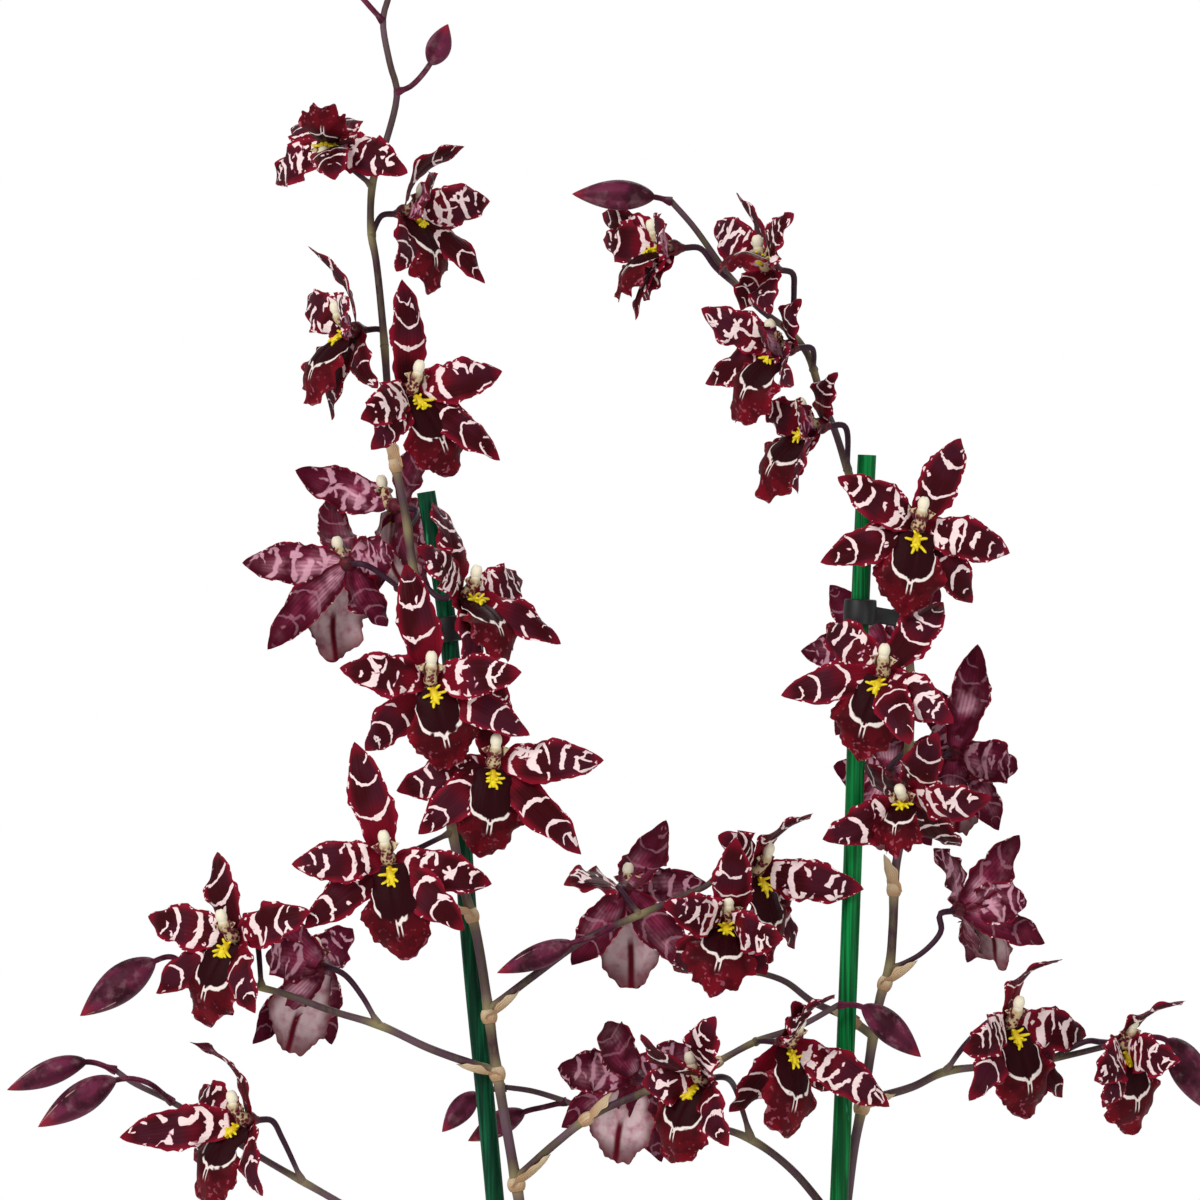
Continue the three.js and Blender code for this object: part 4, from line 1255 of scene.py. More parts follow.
@dataclass
class BarkMix:
    """The coarse bark that fills the pot: a plug, and loose chips on top."""

    top: float = 99
    play: float = 0.8
    chips: int = 340
    chip_sizes: tuple[Point, ...] = ((7, 15), (4.5, 9), (2, 4.2))
    chip_tilt: float = 0.35
    chip_break: float = 0.9
    chip_grain: float = 0.3
    chip_layers: tuple[float, ...] = (0, 31, 62)
    stem_room: float = 4
    uneven: tuple[Point, ...] = ((1.8, 0.13), (0.8, 0.4))
    sides: int = 64
    rings: int = 12
    seed: int = 41

    def build(self, pot: Pot, keep_off: Sequence[Vector], coat: Material) -> None:
        """Makes the plug and the chips.

        Args:
            pot: The pot that holds the mix.
            keep_off: Where canes and stems come up, which no chip lies on.
            coat: The bark material.
        """
        reach = pot.inner_radius(self.top) - self.play
        base = pot.floor + GAP
        foot = pot.inner_radius(pot.floor) - self.play
        maker = Maker("bark_bed")
        rings = [(reach * (1 - i / self.rings), self.top) for i in range(self.rings + 1)]
        maker.turned([(0, base), (foot, base), *rings], self.sides)
        for vert in maker.bm.verts:
            if vert.co.z > self.top - 1 and vert.co.xy.length < reach - 1:
                vert.co.z += sum(h * noise.noise(vert.co * rate) for h, rate in self.uneven)
        place_piece(maker.finish(coat), "bark_mix")
        rng = random.Random(self.seed)
        chips, left = Maker("bark_chips"), self.chips
        while left:
            spot = Vector((rng.uniform(-1, 1), rng.uniform(-1, 1), 0)) * reach
            size = Vector(rng.uniform(*span) for span in self.chip_sizes)
            if spot.length + size.x / 2 > reach - 0.5:
                continue
            room = self.stem_room + size.x / 2
            if any((spot - place).xy.length < room for place in keep_off):
                continue
            left -= 1
            self._add_chip(chips, spot, size, rng)
        place_piece(chips.finish(coat, sharp=30), "bark_mix")

    def _add_chip(self, maker: Maker, spot: Vector, size: Vector, rng: random.Random) -> None:
        """Adds one broken chip.

        Args:
            maker: The mesh.
            spot: Its place in plan.
            size: Its length, width and thickness.
            rng: The draws that turn and break it.
        """
        maker.fresh()
        _, edges = maker.block()
        bmesh.ops.subdivide_edges(maker.bm, edges=edges, cuts=1, use_grid_fill=True)
        turn = Matrix.Rotation(rng.uniform(0, 2 * math.pi), 3, "Z")
        for axis in "XY":
            tilt = rng.uniform(-self.chip_tilt, self.chip_tilt)
            turn = turn @ Matrix.Rotation(tilt, 3, axis)
        lift = Vector((spot.x, spot.y, self.top + rng.uniform(-0.6, 2.6) + size.z / 2))
        seed = rng.uniform(0, 99)
        for vert in maker.fresh():
            round_off = 1 - 0.22 * (vert.co.length / 0.87) ** 2
            local = Vector(a * b for a, b in zip(vert.co, size)) * round_off
            grain = local * self.chip_grain + Vector((seed, 0, 0))
            broken = Vector(noise.noise(grain + Vector((0, 0, far))) for far in self.chip_layers)
            local += broken * self.chip_break
            vert.co = turn @ local + lift


@dataclass
class Pseudobulb:
    """One swollen stem: its place in plan, turn about the upright and size."""

    x: float
    y: float
    turn: float
    size: float


@dataclass
class Cluster:
    """The pseudobulbs, the rhizome that joins them and their dry sheaths.

    The cluster stands in a mix of the height top.
    """

    top: float
    height: float = 78
    width: float = 36
    thickness: float = 22
    sink: float = 11
    slim: float = 0.22
    rhizome: float = 5
    rhizome_rise: float = 3
    ribs: int = 7
    rib_depth: float = 0.035
    sheaths: tuple[Point, ...] = ((0.42, 1.5), (0.66, 0.8))
    sheath_wall: float = 0.35
    bulbs: tuple[Pseudobulb, ...] = (
        Pseudobulb(-4, 16, 10, 1), Pseudobulb(24, 24, 60, 0.86),
        Pseudobulb(-32, 20, -30, 0.8), Pseudobulb(4, -18, -5, 0.92),
    )

    def centre(self, bulb: Pseudobulb) -> Vector:
        """The middle of a pseudobulb."""
        return Vector((bulb.x, bulb.y, self.top - self.sink + self.height / 2 * bulb.size))

    def skin(self, bulb: Pseudobulb, angle: float, rise: float, grow: float) -> Vector:
        """A place on a bulb's ribbed, flattened surface.

        Args:
            bulb: The bulb.
            angle: The angle about the bulb's own upright.
            rise: The height on it, from -1 at the foot to 1 at the top.
            grow: How far the surface is grown outwards.

        Returns:
            The place.
        """
        half = [size * bulb.size / 2 + grow for size in (self.width, self.thickness, self.height)]
        flat = max(0, 1 - rise * rise) ** 0.5
        rib = 1 - self.rib_depth * abs(math.sin(angle * self.ribs)) * flat
        slim = (1 - self.slim * rise) * flat * rib
        x, y = math.cos(angle) * half[0] * slim, math.sin(angle) * half[1] * slim
        spot = Vector((x, y, rise * half[2]))
        return Matrix.Rotation(bulb.turn * DEGREE, 3, "Z") @ spot + self.centre(bulb)

    def build(self, green: Material, paper: Material) -> None:
        """Makes the bulbs, rhizome and sheaths.

        Args:
            green: The bulbs' material.
            paper: The sheaths' material.
        """
        maker = Maker("bulb_cluster")
        for bulb in self.bulbs:
            made = bmesh.ops.create_uvsphere(maker.bm, u_segments=56, v_segments=36, radius=1)
            for vert in made["verts"]:
                angle, rise = math.atan2(vert.co.y, vert.co.x), vert.co.z
                vert[maker.growth] = Vector((math.sin(angle), (rise + 1) / 2, 0))
                vert.co = self.skin(bulb, angle, rise, 0)
        level = self.top - self.sink + self.rhizome_rise
        feet = [Vector((bulb.x, bulb.y, level)) for bulb in self.bulbs]
        for way in ([feet[2], feet[0], feet[1]], [feet[0], feet[3]]):
            line = Curve(way).stations(24)
            maker.tube(line, lambda t, a: self.rhizome * (1 - 0.08 * math.cos(t * 60)), 20)
        place_piece(maker.finish(green), "pseudobulbs")
        sheaths = Maker("bulb_sheaths")
        for number, bulb in enumerate(self.bulbs):
            for layer, (reach, grow) in enumerate(self.sheaths):
                self._sheath(sheaths, bulb, reach, grow, number + layer * 2.4)
        bmesh.ops.remove_doubles(sheaths.bm, verts=sheaths.bm.verts, dist=Maker.MERGE)
        bmesh.ops.solidify(sheaths.bm, geom=list(sheaths.bm.faces), thickness=self.sheath_wall)
        place_piece(sheaths.finish(paper, close=False), "pseudobulbs")

    def _sheath(
        self, maker: Maker, bulb: Pseudobulb, reach: float, grow: float, seed: float
    ) -> None:
        """Adds a dry sheath, torn off along a ragged line that runs up to a point on one side.

        Args:
            maker: The mesh.
            bulb: The bulb that it clasps.
            reach: How far up the bulb it comes.
            grow: How far it stands off the bulb.
            seed: What turns its point and its tears.
        """

        def place(s: float, t: float) -> Vector:
            """A place on the sheath."""
            angle = s * math.pi
            line = reach * (0.72 + 0.28 * math.cos(angle - seed))
            line += 0.02 * math.sin(9 * angle + seed) + 0.012 * math.sin(23 * angle)
            rise = 2 * (0.06 + (line - 0.06) * t) - 1
            loose = 0.7 * t * t * (1 + math.sin(7 * angle + seed))
            return self.skin(bulb, angle, rise, grow + loose)

        maker.sheet(84, 14, place)


@dataclass
class LeafPlan:
    """One leaf: its bulb, the way it leans, its reach and rise, and how far its foot drops."""

    bulb: int
    azimuth: float
    reach: float
    rise: float
    drop: float


@dataclass
class Leaves:
    """The strap leaves that arch from the tops of the pseudobulbs."""

    width: float = 31
    thickness: float = 2.2
    seat: float = 4
    lean: float = 0.6
    arch: float = 0.16
    foot_radius: float = 3.2
    plans: tuple[LeafPlan, ...] = (
        LeafPlan(0, 92, 90, 165, 1.45), LeafPlan(0, 268, 52, 176, 1.75),
        LeafPlan(1, 76, 110, 140, 1.45), LeafPlan(1, 8, 130, 110, 0.55),
        LeafPlan(2, 110, 110, 130, 0.85), LeafPlan(2, 172, 150, 80, 1.55),
        LeafPlan(3, 228, 110, 110, 1.5), LeafPlan(3, 316, 120, 90, 0.95),
    )

    def _seat_height(self, cluster: Cluster, bulb: Pseudobulb, azimuth: float) -> float:
        """The height of a bulb's surface where a leaf sits.

        Args:
            cluster: The pseudobulbs.
            bulb: The one that carries the leaf.
            azimuth: The way that the leaf leans.

        Returns:
            The height.
        """
        turn = (azimuth - bulb.turn) * DEGREE
        wide = self.seat * math.cos(turn) / (cluster.width / 2 * bulb.size)
        thick = self.seat * math.sin(turn) / (cluster.thickness / 2 * bulb.size)
        rise = 1.0
        for _ in range(6):
            slim = 1 - cluster.slim * rise
            rise = math.sqrt(max(0, 1 - (wide * wide + thick * thick) / slim**2))
        return cluster.centre(bulb).z + cluster.height / 2 * bulb.size * rise

    def build(self, cluster: Cluster, coat: Material) -> None:
        """Makes each leaf.

        Args:
            cluster: The pseudobulbs.
            coat: The leaf material.
        """
        for index, plan in enumerate(self.plans):
            bulb = cluster.bulbs[plan.bulb]
            turn = plan.azimuth * DEGREE
            out = Vector((math.cos(turn), math.sin(turn), 0))
            height = self._seat_height(cluster, bulb, plan.azimuth) + GAP - plan.drop
            root = Vector((bulb.x, bulb.y, height)) + out * self.seat
            tip = root + out * plan.reach + UP * plan.rise
            form = Blade(
                self.width, self.thickness * 0.6, strap, 16, 70,
                bow=self.arch * plan.reach, cup=-2.5, wave=0.8, waves=1.5, phase=index,
                ruffle=0.5, ruffles=4, keel=1.2,
            )
            maker = Maker(f"strap_leaf_{index + 1:02d}")
            form.grow(maker, root, tip, UP * self.lean - out)
            # The folded foot of the leaf clasps the bulb.
            foot = straight(root - UP * 1.2 - out, root + (tip - root) * 0.05, 6)
            maker.tube(foot, lambda t, a: self.foot_radius * (1 - 0.45 * t), 14)
            place_piece(maker.finish(coat), f"leaf_{index + 1:02d}")


# The canes and clips


@dataclass
class Cane:
    """A coated cane: its side, depth, foot and way through the photograph."""

    side: str
    depth: float
    foot: float
    path: tuple[Point, ...]
    radius: float = 3.25
    foot_height: float = 14
    end_share: float = 0.8

    def line(self) -> list[Station]:
        """The cane's stations."""
        foot = Vector((self.foot, self.depth, self.foot_height))
        return Curve([foot] + [VIEW.at(pixel, self.depth) for pixel in self.path]).stations(60)

    def build(self, coat: Material) -> None:
        """Makes the cane.

        Args:
            coat: Its coating.
        """
        maker = Maker(f"cane_{self.side}")
        line = self.line()
        # The first and the last stop come twice, the outer time narrower, and count as t.
        line = [line[0], *line, line[-1]]
        stops = [Station(i, stop.place, stop.tangent) for i, stop in enumerate(line)]
        ends = (0, len(line) - 1)
        maker.tube(stops, lambda t, a: self.radius * (self.end_share if t in ends else 1), 28)
        place_piece(maker.finish(coat, sharp=35), f"stake_{self.side}")


CANES = (
    Cane("left", 3.5, -37.5, ((495, 1200), (469, 930), (448, 629), (426, 492))),
    Cane("right", -3, 38, ((839, 1200), (852, 880), (860, 612), (867, 455))),
)


@dataclass
class Clip:
    """A clip: a ring round the cane, a ring round the spike and the bar between."""

    side: str
    stake: Point
    stem: Point
    height: float = 9
    wall: float = 1.7
    bar_width: float = 4.2
    bar_height: float = 5.4
    stake_play: float = 0.7
    stem_play: float = 1
    soft: float = 0.4
    crown: float = 0.25
    bevel: float = 0.5

    def _ring(self, maker: Maker, stop: Station, bore: float) -> None:
        """Adds a ring band with rounded corners.

        Args:
            maker: The mesh.
            stop: The stop on the line that runs through the ring.
            bore: Its inner radius.
        """
        tall, wide, soft = self.height / 2, self.wall, self.soft
        profile = [
            (bore, -tall + soft), (bore + soft, -tall), (bore + wide - soft, -tall),
            (bore + wide, -tall + soft), (bore + wide + self.crown, 0), (bore + wide, tall - soft),
            (bore + wide - soft, tall), (bore + soft, tall), (bore, tall - soft),
            (bore, -tall + soft),
        ]
        maker.fresh()
        maker.turned(profile, 40)
        tilt = UP.rotation_difference(stop.tangent).to_matrix()
        for vert in maker.fresh():
            vert.co = tilt @ vert.co + stop.place

    def build(self, cane: Cane, stem: "Stem", coat: Material) -> None:
        """Makes the clip.

        Args:
            cane: The cane that it grips.
            stem: The spike's main stem.
            coat: The clip's material.
        """
        on_cane = nearest(cane.line(), VIEW.at(self.stake))
        on_stem = nearest(stem.line(), VIEW.at(self.stem))
        maker = Maker(f"spike_clip_{self.side}")
        bore = cane.radius + self.stake_play
        stem_bore = stem.radius(on_stem.t) + self.stem_play
        self._ring(maker, on_cane, bore)
        self._ring(maker, on_stem, stem_bore)
        between = on_stem.place - on_cane.place
        along = between.normalized()
        flat = along.cross(UP).normalized()
        turn = Matrix((flat, along, flat.cross(along))).transposed()
        room = between.length - bore - stem_bore
        middle = on_cane.place + along * (bore + room / 2)
        made, edges = maker.block()
        size = Vector((self.bar_width, room + self.wall, self.bar_height))
        for vert in made:
            vert.co = turn @ Vector(a * b for a, b in zip(vert.co, size)) + middle
        bmesh.ops.bevel(
            maker.bm, geom=edges, offset=self.bevel, segments=3, profile=0.5, affect="EDGES",
            material=-1,
        )
        place_piece(maker.finish(coat, sharp=30, close=False), f"clip_{self.side}")


CLIPS = (
    Clip("left", (448, 629, 3.5), (422, 629, -4)),
    Clip("right", (860, 612, -3), (905, 620, 6)),
)


# The spikes


@dataclass
class Stem:
    """A spike's main stem: its foot in millimetres, then its way through the photograph."""

    side: str
    foot: tuple[Point, ...]
    path: tuple[Point, ...]
    foot_radius: float = 2.6
    tip_radius: float = 1.2

    def line(self) -> list[Station]:
        """The stem's stations."""
        return Curve([Vector(point) for point in self.foot] + VIEW.path(self.path)).stations(240)

    def radius(self, t: float) -> float:
        """The radius at a share of the length."""
        return self.foot_radius + (self.tip_radius - self.foot_radius) * t


STEMS = (
    Stem(
        "left",
        ((-20, -6, 66), (-23, -6, 100), (-36, -6, 220)),
        (
            (519, 1200, -5), (497, 1072, -5), (477, 937, -5), (462, 880, -5), (440, 760, -5),
            (424, 640, -4), (412, 560, -2), (405, 512, 0), (393, 450, 0), (383, 327, 0),
            (376, 260, 0), (371, 231, 0), (373, 181, 0), (385, 145, 0), (397, 92, 0), (390, 64, 0),
            (383, 20, 0), (389, -4, 0), (397, -34, -1), (398, -50, -2),
        ),
    ),
    Stem(
        "right",
        ((26, 4, 66), (29, 5, 100), (40, 6, 220)),
        (
            (847, 1200, 6), (854, 1147, 6), (863, 1101, 6), (880, 999, 6), (889, 970, 6),
            (893, 926, 6), (895, 873, 6), (902, 830, 6), (907, 770, 6), (911, 700, 6),
            (905, 620, 6), (886, 556, 7), (862, 505, 7), (849, 474, 5), (835, 431, 3),
            (822, 399, 1), (808, 355, 0), (790, 332, 0), (760, 309, 0), (730, 277, 0),
            (693, 226, 0), (670, 200, -1),
        ),
    ),
)


@dataclass
class Branch:
    """A side branch: its spike and its way through the photograph, with depths."""

    spike: str
    path: tuple[Point, ...]
    root_radius: float = 1.7
    tip_radius: float = 1.1


BRANCHES = (
    Branch("left", (
        (540, 1334, -5), (440, 1262, -8), (335, 1200, -8), (262, 1158, -4), (172, 1102, -4),
        (132, 1082, -6), (114, 1069, -7),
    )),
    Branch("left", (
        (497, 1072, -5), (431, 1049, -8), (381, 1026, -9), (332, 1011, -10), (285, 994, -10),
        (255, 986, -9), (214, 974, 0), (184, 966, 4),
    )),
    Branch("left", (
        (484, 1011, -5), (532, 977, -8), (587, 938, -10), (630, 919, -10), (685, 895, -8),
        (706, 886, -8), (722, 872, -7), (737, 866, -6),
    )),
    Branch("left", (
        (513, 1180, -5), (556, 1143, -10), (593, 1115, -12), (654, 1088, -13),
        (709, 1066, -13), (755, 1042, -12), (800, 1026, -12), (840, 1004, -13),
    )),
    Branch("right", (
        (876, 1036, 6), (844, 1016, 7), (813, 1002, 6), (786, 982, 4), (764, 974, 2),
        (746, 971, 0),
    )),
    Branch("right", (
        (842, 1232, 6), (792, 1170, 8), (752, 1140, 8), (716, 1127, 16), (679, 1120, 23),
        (636, 1112, 27), (587, 1109, 28), (562, 1100, 28), (532, 1091, 27), (504, 1087, 26),
    )),
    Branch("right", (
        (864, 1101, 6), (912, 1087, 9), (944, 1072, 10), (990, 1066, 10), (1050, 1059, 9),
        (1103, 1047, 8), (1137, 1038, 8),
    )),
)


@dataclass
class Bud:
    """A bud on its stalk: its spike, the stalk's way, the tip and the size."""

    spike: str
    stalk: tuple[Point, ...]
    tip: Point
    size: float
    radius: float = 5.6
    steps: int = 40
    stalk_steps: float = 0.3

    def grow(self, maker: Maker, way: list[Vector]) -> None:
        """Adds the stalk and the bud, which swells into a pointed, three-lobed ovoid.

        Args:
            maker: The mesh.
            way: The stalk's places, then the bud's tip.
        """
        curve = Curve(way)
        share = (way[-1] - way[-2]).length / curve.length
        full = self.radius * self.size

        def radius(t: float, turn: float) -> float:
            """The radius of the stalk, then of the bud."""
            along = (t - 1 + share) / share
            if along <= 0:
                return 1 + 0.7 * blend(0.1, 0, t)
            swell = max(0, math.sin(math.pi * along**0.85))
            lobes = 1 - 0.06 * abs(math.cos(turn * 1.5)) * swell
            return (1 - along) * 0.9 + 0.05 + (full - 0.9) * swell**0.9 * lobes

        def warp(t: float) -> float:
            """Gives the bud more of the stops than the stalk."""
            if t < self.stalk_steps:
                return t / self.stalk_steps * (1 - share)
            return 1 - share + (t - self.stalk_steps) / (1 - self.stalk_steps) * share

        maker.tube(curve.stations(self.steps, warp), radius, 24)


BUDS = (
    Bud("left", ((398, -48, -2), (399, -60, -2)), (404, -90, -2), 0.62),
    Bud("left", ((384, 21, 0), (366, 2, -1), (350, -18, -2)), (333, -52, -2), 0.7),
    Bud("left", ((397, 92, 0), (411, 86, -1), (430, 64, -2)), (448, 24, -2), 0.86),
    Bud("left", ((186, 967, 4), (172, 957, 5), (155, 961, 4)), (80, 1016, 2), 1.25),
    Bud("left", ((116, 1070, -7), (86, 1062, -10)), (7, 1090, -10), 0.9),
    Bud("left", ((172, 1102, -4), (146, 1082, -12), (116, 1080, -16)), (38, 1127, -17), 1.1),
    Bud("left", ((612, 926, -10), (596, 936, -14), (572, 943, -16)), (497, 973, -16), 0.86),
    Bud("left", ((838, 1005, -13), (862, 1007, -14)), (921, 1057, -16), 1.05),
    Bud("right", ((672, 201, -1), (654, 197, -2)), (572, 194, -4), 1.05),
    Bud("right", ((506, 1087, 26), (478, 1094, 26)), (442, 1132, 24), 0.85),
    Bud("right", ((566, 1102, 28), (544, 1107, 31), (524, 1112, 32)), (468, 1141, 34), 0.9),
    Bud("right", ((1135, 1038, 8), (1166, 1040, 6)), (1211, 1112, 4), 1.25),
)


@dataclass
class Bract:
    """A papery bract at a joint: its spike, its foot, its tip and its size."""

    spike: str
    base: Point
    tip: Point
    size: float

    def grow(self, maker: Maker, foot: Vector, tip: Vector, along_stem: Vector) -> None:
        """Adds the bract, a clasping sheath that opens into a point.

        Args:
            maker: The mesh.
            foot: The place on the stem.
            tip: The bract's tip.
            along_stem: The stem's direction.
        """
        reach = tip - foot
        facing = (along_stem - along_stem.project(reach)).normalized()
        form = Blade(
            8.5 * self.size, 0.7, scale_leaf, 12, 22, cup=-2.2, wave=0.5, waves=1.5,
            phase=foot.x, ruffle=0.35, ruffles=3, bow=-1,
        )
        form.grow(maker, foot - reach * 0.04, tip, facing)
        ring = straight(foot - along_stem * 2.2, foot + along_stem * 2.6, 8)
        maker.tube(ring, lambda t, a: 3.0 * self.size * (1 - 0.25 * abs(2 * t - 1) ** 2), 18)


BRACTS = (
    Bract("left", (499, 1074, -5), (456, 1064, -8), 1),
    Bract("left", (480, 1018, -5), (520, 990, -8), 1),
    Bract("left", (510, 1186, -5), (551, 1154, -10), 1.1),
    Bract("left", (472, 916, -5), (434, 896, -8), 0.9),
    Bract("left", (396, 466, 0), (384, 428, -2), 0.8),
    Bract("left", (586, 1120, -12), (612, 1092, -14), 0.8),
    Bract("left", (716, 1064, -13), (702, 1086, -15), 0.7),
    Bract("right", (896, 890, 6), (884, 854, 2), 0.9),
    Bract("right", (884, 984, 6), (918, 960, 2), 0.9),
    Bract("right", (862, 1108, 6), (896, 1094, 3), 1),
    Bract("right", (856, 1022, 7), (828, 1008, 6), 0.7),
)


@dataclass
class Spike:
    """A whole flower spike: stem, branches, pedicels, bracts and buds."""

    stem: Stem
    joint_reach: float = 4.5
    pedicel_root: float = 0.9
    pedicel_tip: float = 1.15
    approach: float = 6
    slim: float = 0.9
    joint_swell: float = 0.16

    def __post_init__(self) -> None:
        """Roots the branches on the stem."""
        self.main = self.stem.line()
        self.branches = []
        for branch in self.own(BRANCHES):
            way = VIEW.path(branch.path)
            way[0] = nearest(self.main, way[0]).place
            self.branches.append((branch, Curve(way).stations(90)))

    def own(self, parts: Sequence) -> list:
        """Those of several parts that this spike carries."""
        return [part for part in parts if part.spike == self.stem.side]

    def spot(self, point: Vector) -> Station:
        """The nearest stop on the stem or a branch."""
        stops = [nearest(line, point) for line in (self.main, *(line for _, line in self.branches))]
        return min(stops, key=lambda stop: (stop.place - point).length)

    def rooted(self, pixels: Sequence[Point]) -> list[Vector]:
        """The places of a stalk's pixels, the first moved onto what carries it.

        Args:
            pixels: The stalk's pixels.

        Returns:
            Their places.
        """
        way = VIEW.path(pixels)
        way[0] = self.spot(way[0]).place
        return way

    def _joints(self) -> list[Vector]:
        """The places where branches, bracts and stalks leave."""
        joints = [line[0].place for _, line in self.branches]
        joints += [self.spot(VIEW.at(bract.base)).place for bract in self.own(BRACTS)]
        return joints + [self.rooted(bloom.stalk)[0] for bloom in self.own(BLOOMS)]

    def _stalk(
        self, maker: Maker, line: list[Station], radius: Callable[[float], float],
        joints: list[Vector], sides: int,
    ) -> None:
        """Adds a stem that swells and pales at its joints.

        Args:
            maker: The mesh.
            line: The stem's stations.
            radius: Gives the radius for a share of the length.
            joints: The places where something leaves it.
            sides: How many sides it has.
        """
        near = {}
        for stop in line:
            gap = min(((stop.place - joint).length for joint in joints), default=99)
            near[stop.t] = math.exp(-((gap / self.joint_reach) ** 2))

        def swollen(t: float, turn: float) -> float:
            """The radius, greater near a joint."""
            return self.slim * radius(t) * (1 + self.joint_swell * near[t])

        maker.tube(line, swollen, sides, near.get)

    def build(self, stem_coat: Material, bud_coat: Material, paper: Material) -> None:
        """Makes the spike's pieces.

        Args:
            stem_coat: The material of the stems.
            bud_coat: The material of the buds.
            paper: The material of the bracts.
        """
        side = self.stem.side
        node = f"spike_{side}"
        joints = self._joints()
        maker = Maker(f"stems_{side}")
        self._stalk(maker, self.main, self.stem.radius, joints, 18)
        for branch, line in self.branches:
            start, end = branch.root_radius, branch.tip_radius
            self._stalk(maker, line, lambda t: start + (end - start) * t, joints, 14)
        for bloom in self.own(BLOOMS):
            self._pedicel(maker, bloom)
        place_piece(maker.finish(stem_coat), node)
        buds = Maker(f"buds_{side}")
        for bud in self.own(BUDS):
            bud.grow(buds, self.rooted([*bud.stalk, bud.tip]))
        place_piece(buds.finish(bud_coat, sharp=80), node)
        bracts = Maker(f"bracts_{side}")
        for bract in self.own(BRACTS):
            spot = self.spot(VIEW.at(bract.base))
            bract.grow(bracts, spot.place, VIEW.at(bract.tip), spot.tangent)
        place_piece(bracts.finish(paper), node)

    def _pedicel(self, maker: Maker, bloom: "Bloom") -> None:
        """Adds the stalk of one bloom.

        Args:
            maker: The mesh.
            bloom: The bloom that it carries.
        """
        seat, face = bloom.base, bloom.face
        way = self.rooted(bloom.stalk) + [seat - face * self.approach, seat + face * 0.5]
        start, end = self.pedicel_root, self.pedicel_tip
        maker.tube(
            Curve(way).stations(24),
            lambda t, a: start + (end - start) * t + 0.8 * blend(0.14, 0, t), 12,
            lambda t: 0.6 * blend(0.2, 0, t) - blend(0.1, 0.35, t),
        )


# The blooms


@dataclass(frozen=True)
class Spread:
    """How a tepal stands: its size, how far round from the bloom's up it points, how far
    forward it leans and how far behind the centre it grows."""

    length: float
    width: float
    round: float
    lean: float
    back: float


class Tepal(Enum):
    """The six parts that spread from a bloom's centre, in the order that they are drawn."""

    DORSAL = Spread(37, 14, 0, 0, -1.4)
    SEPAL_RIGHT = Spread(36, 13, 132, -4, -1.4)
    SEPAL_LEFT = Spread(36, 13, -132, -4, -1.4)
    PETAL_RIGHT = Spread(34, 14.5, 66, 8, 0.6)
    PETAL_LEFT = Spread(34, 14.5, -66, 8, 0.6)
    LIP = Spread(30, 24, 180, 26, 1.8)


# Blooms whose dorsal sepal arches back with its edge to the view, and how far it bows.
ARCHED = {
    "left_02": -6.5, "left_03": -5, "branch_03": -7, "branch_05": -4, "branch_07": -3,
    "branch_10": -7, "branch_11": -4, "right_02": -2.5,
}


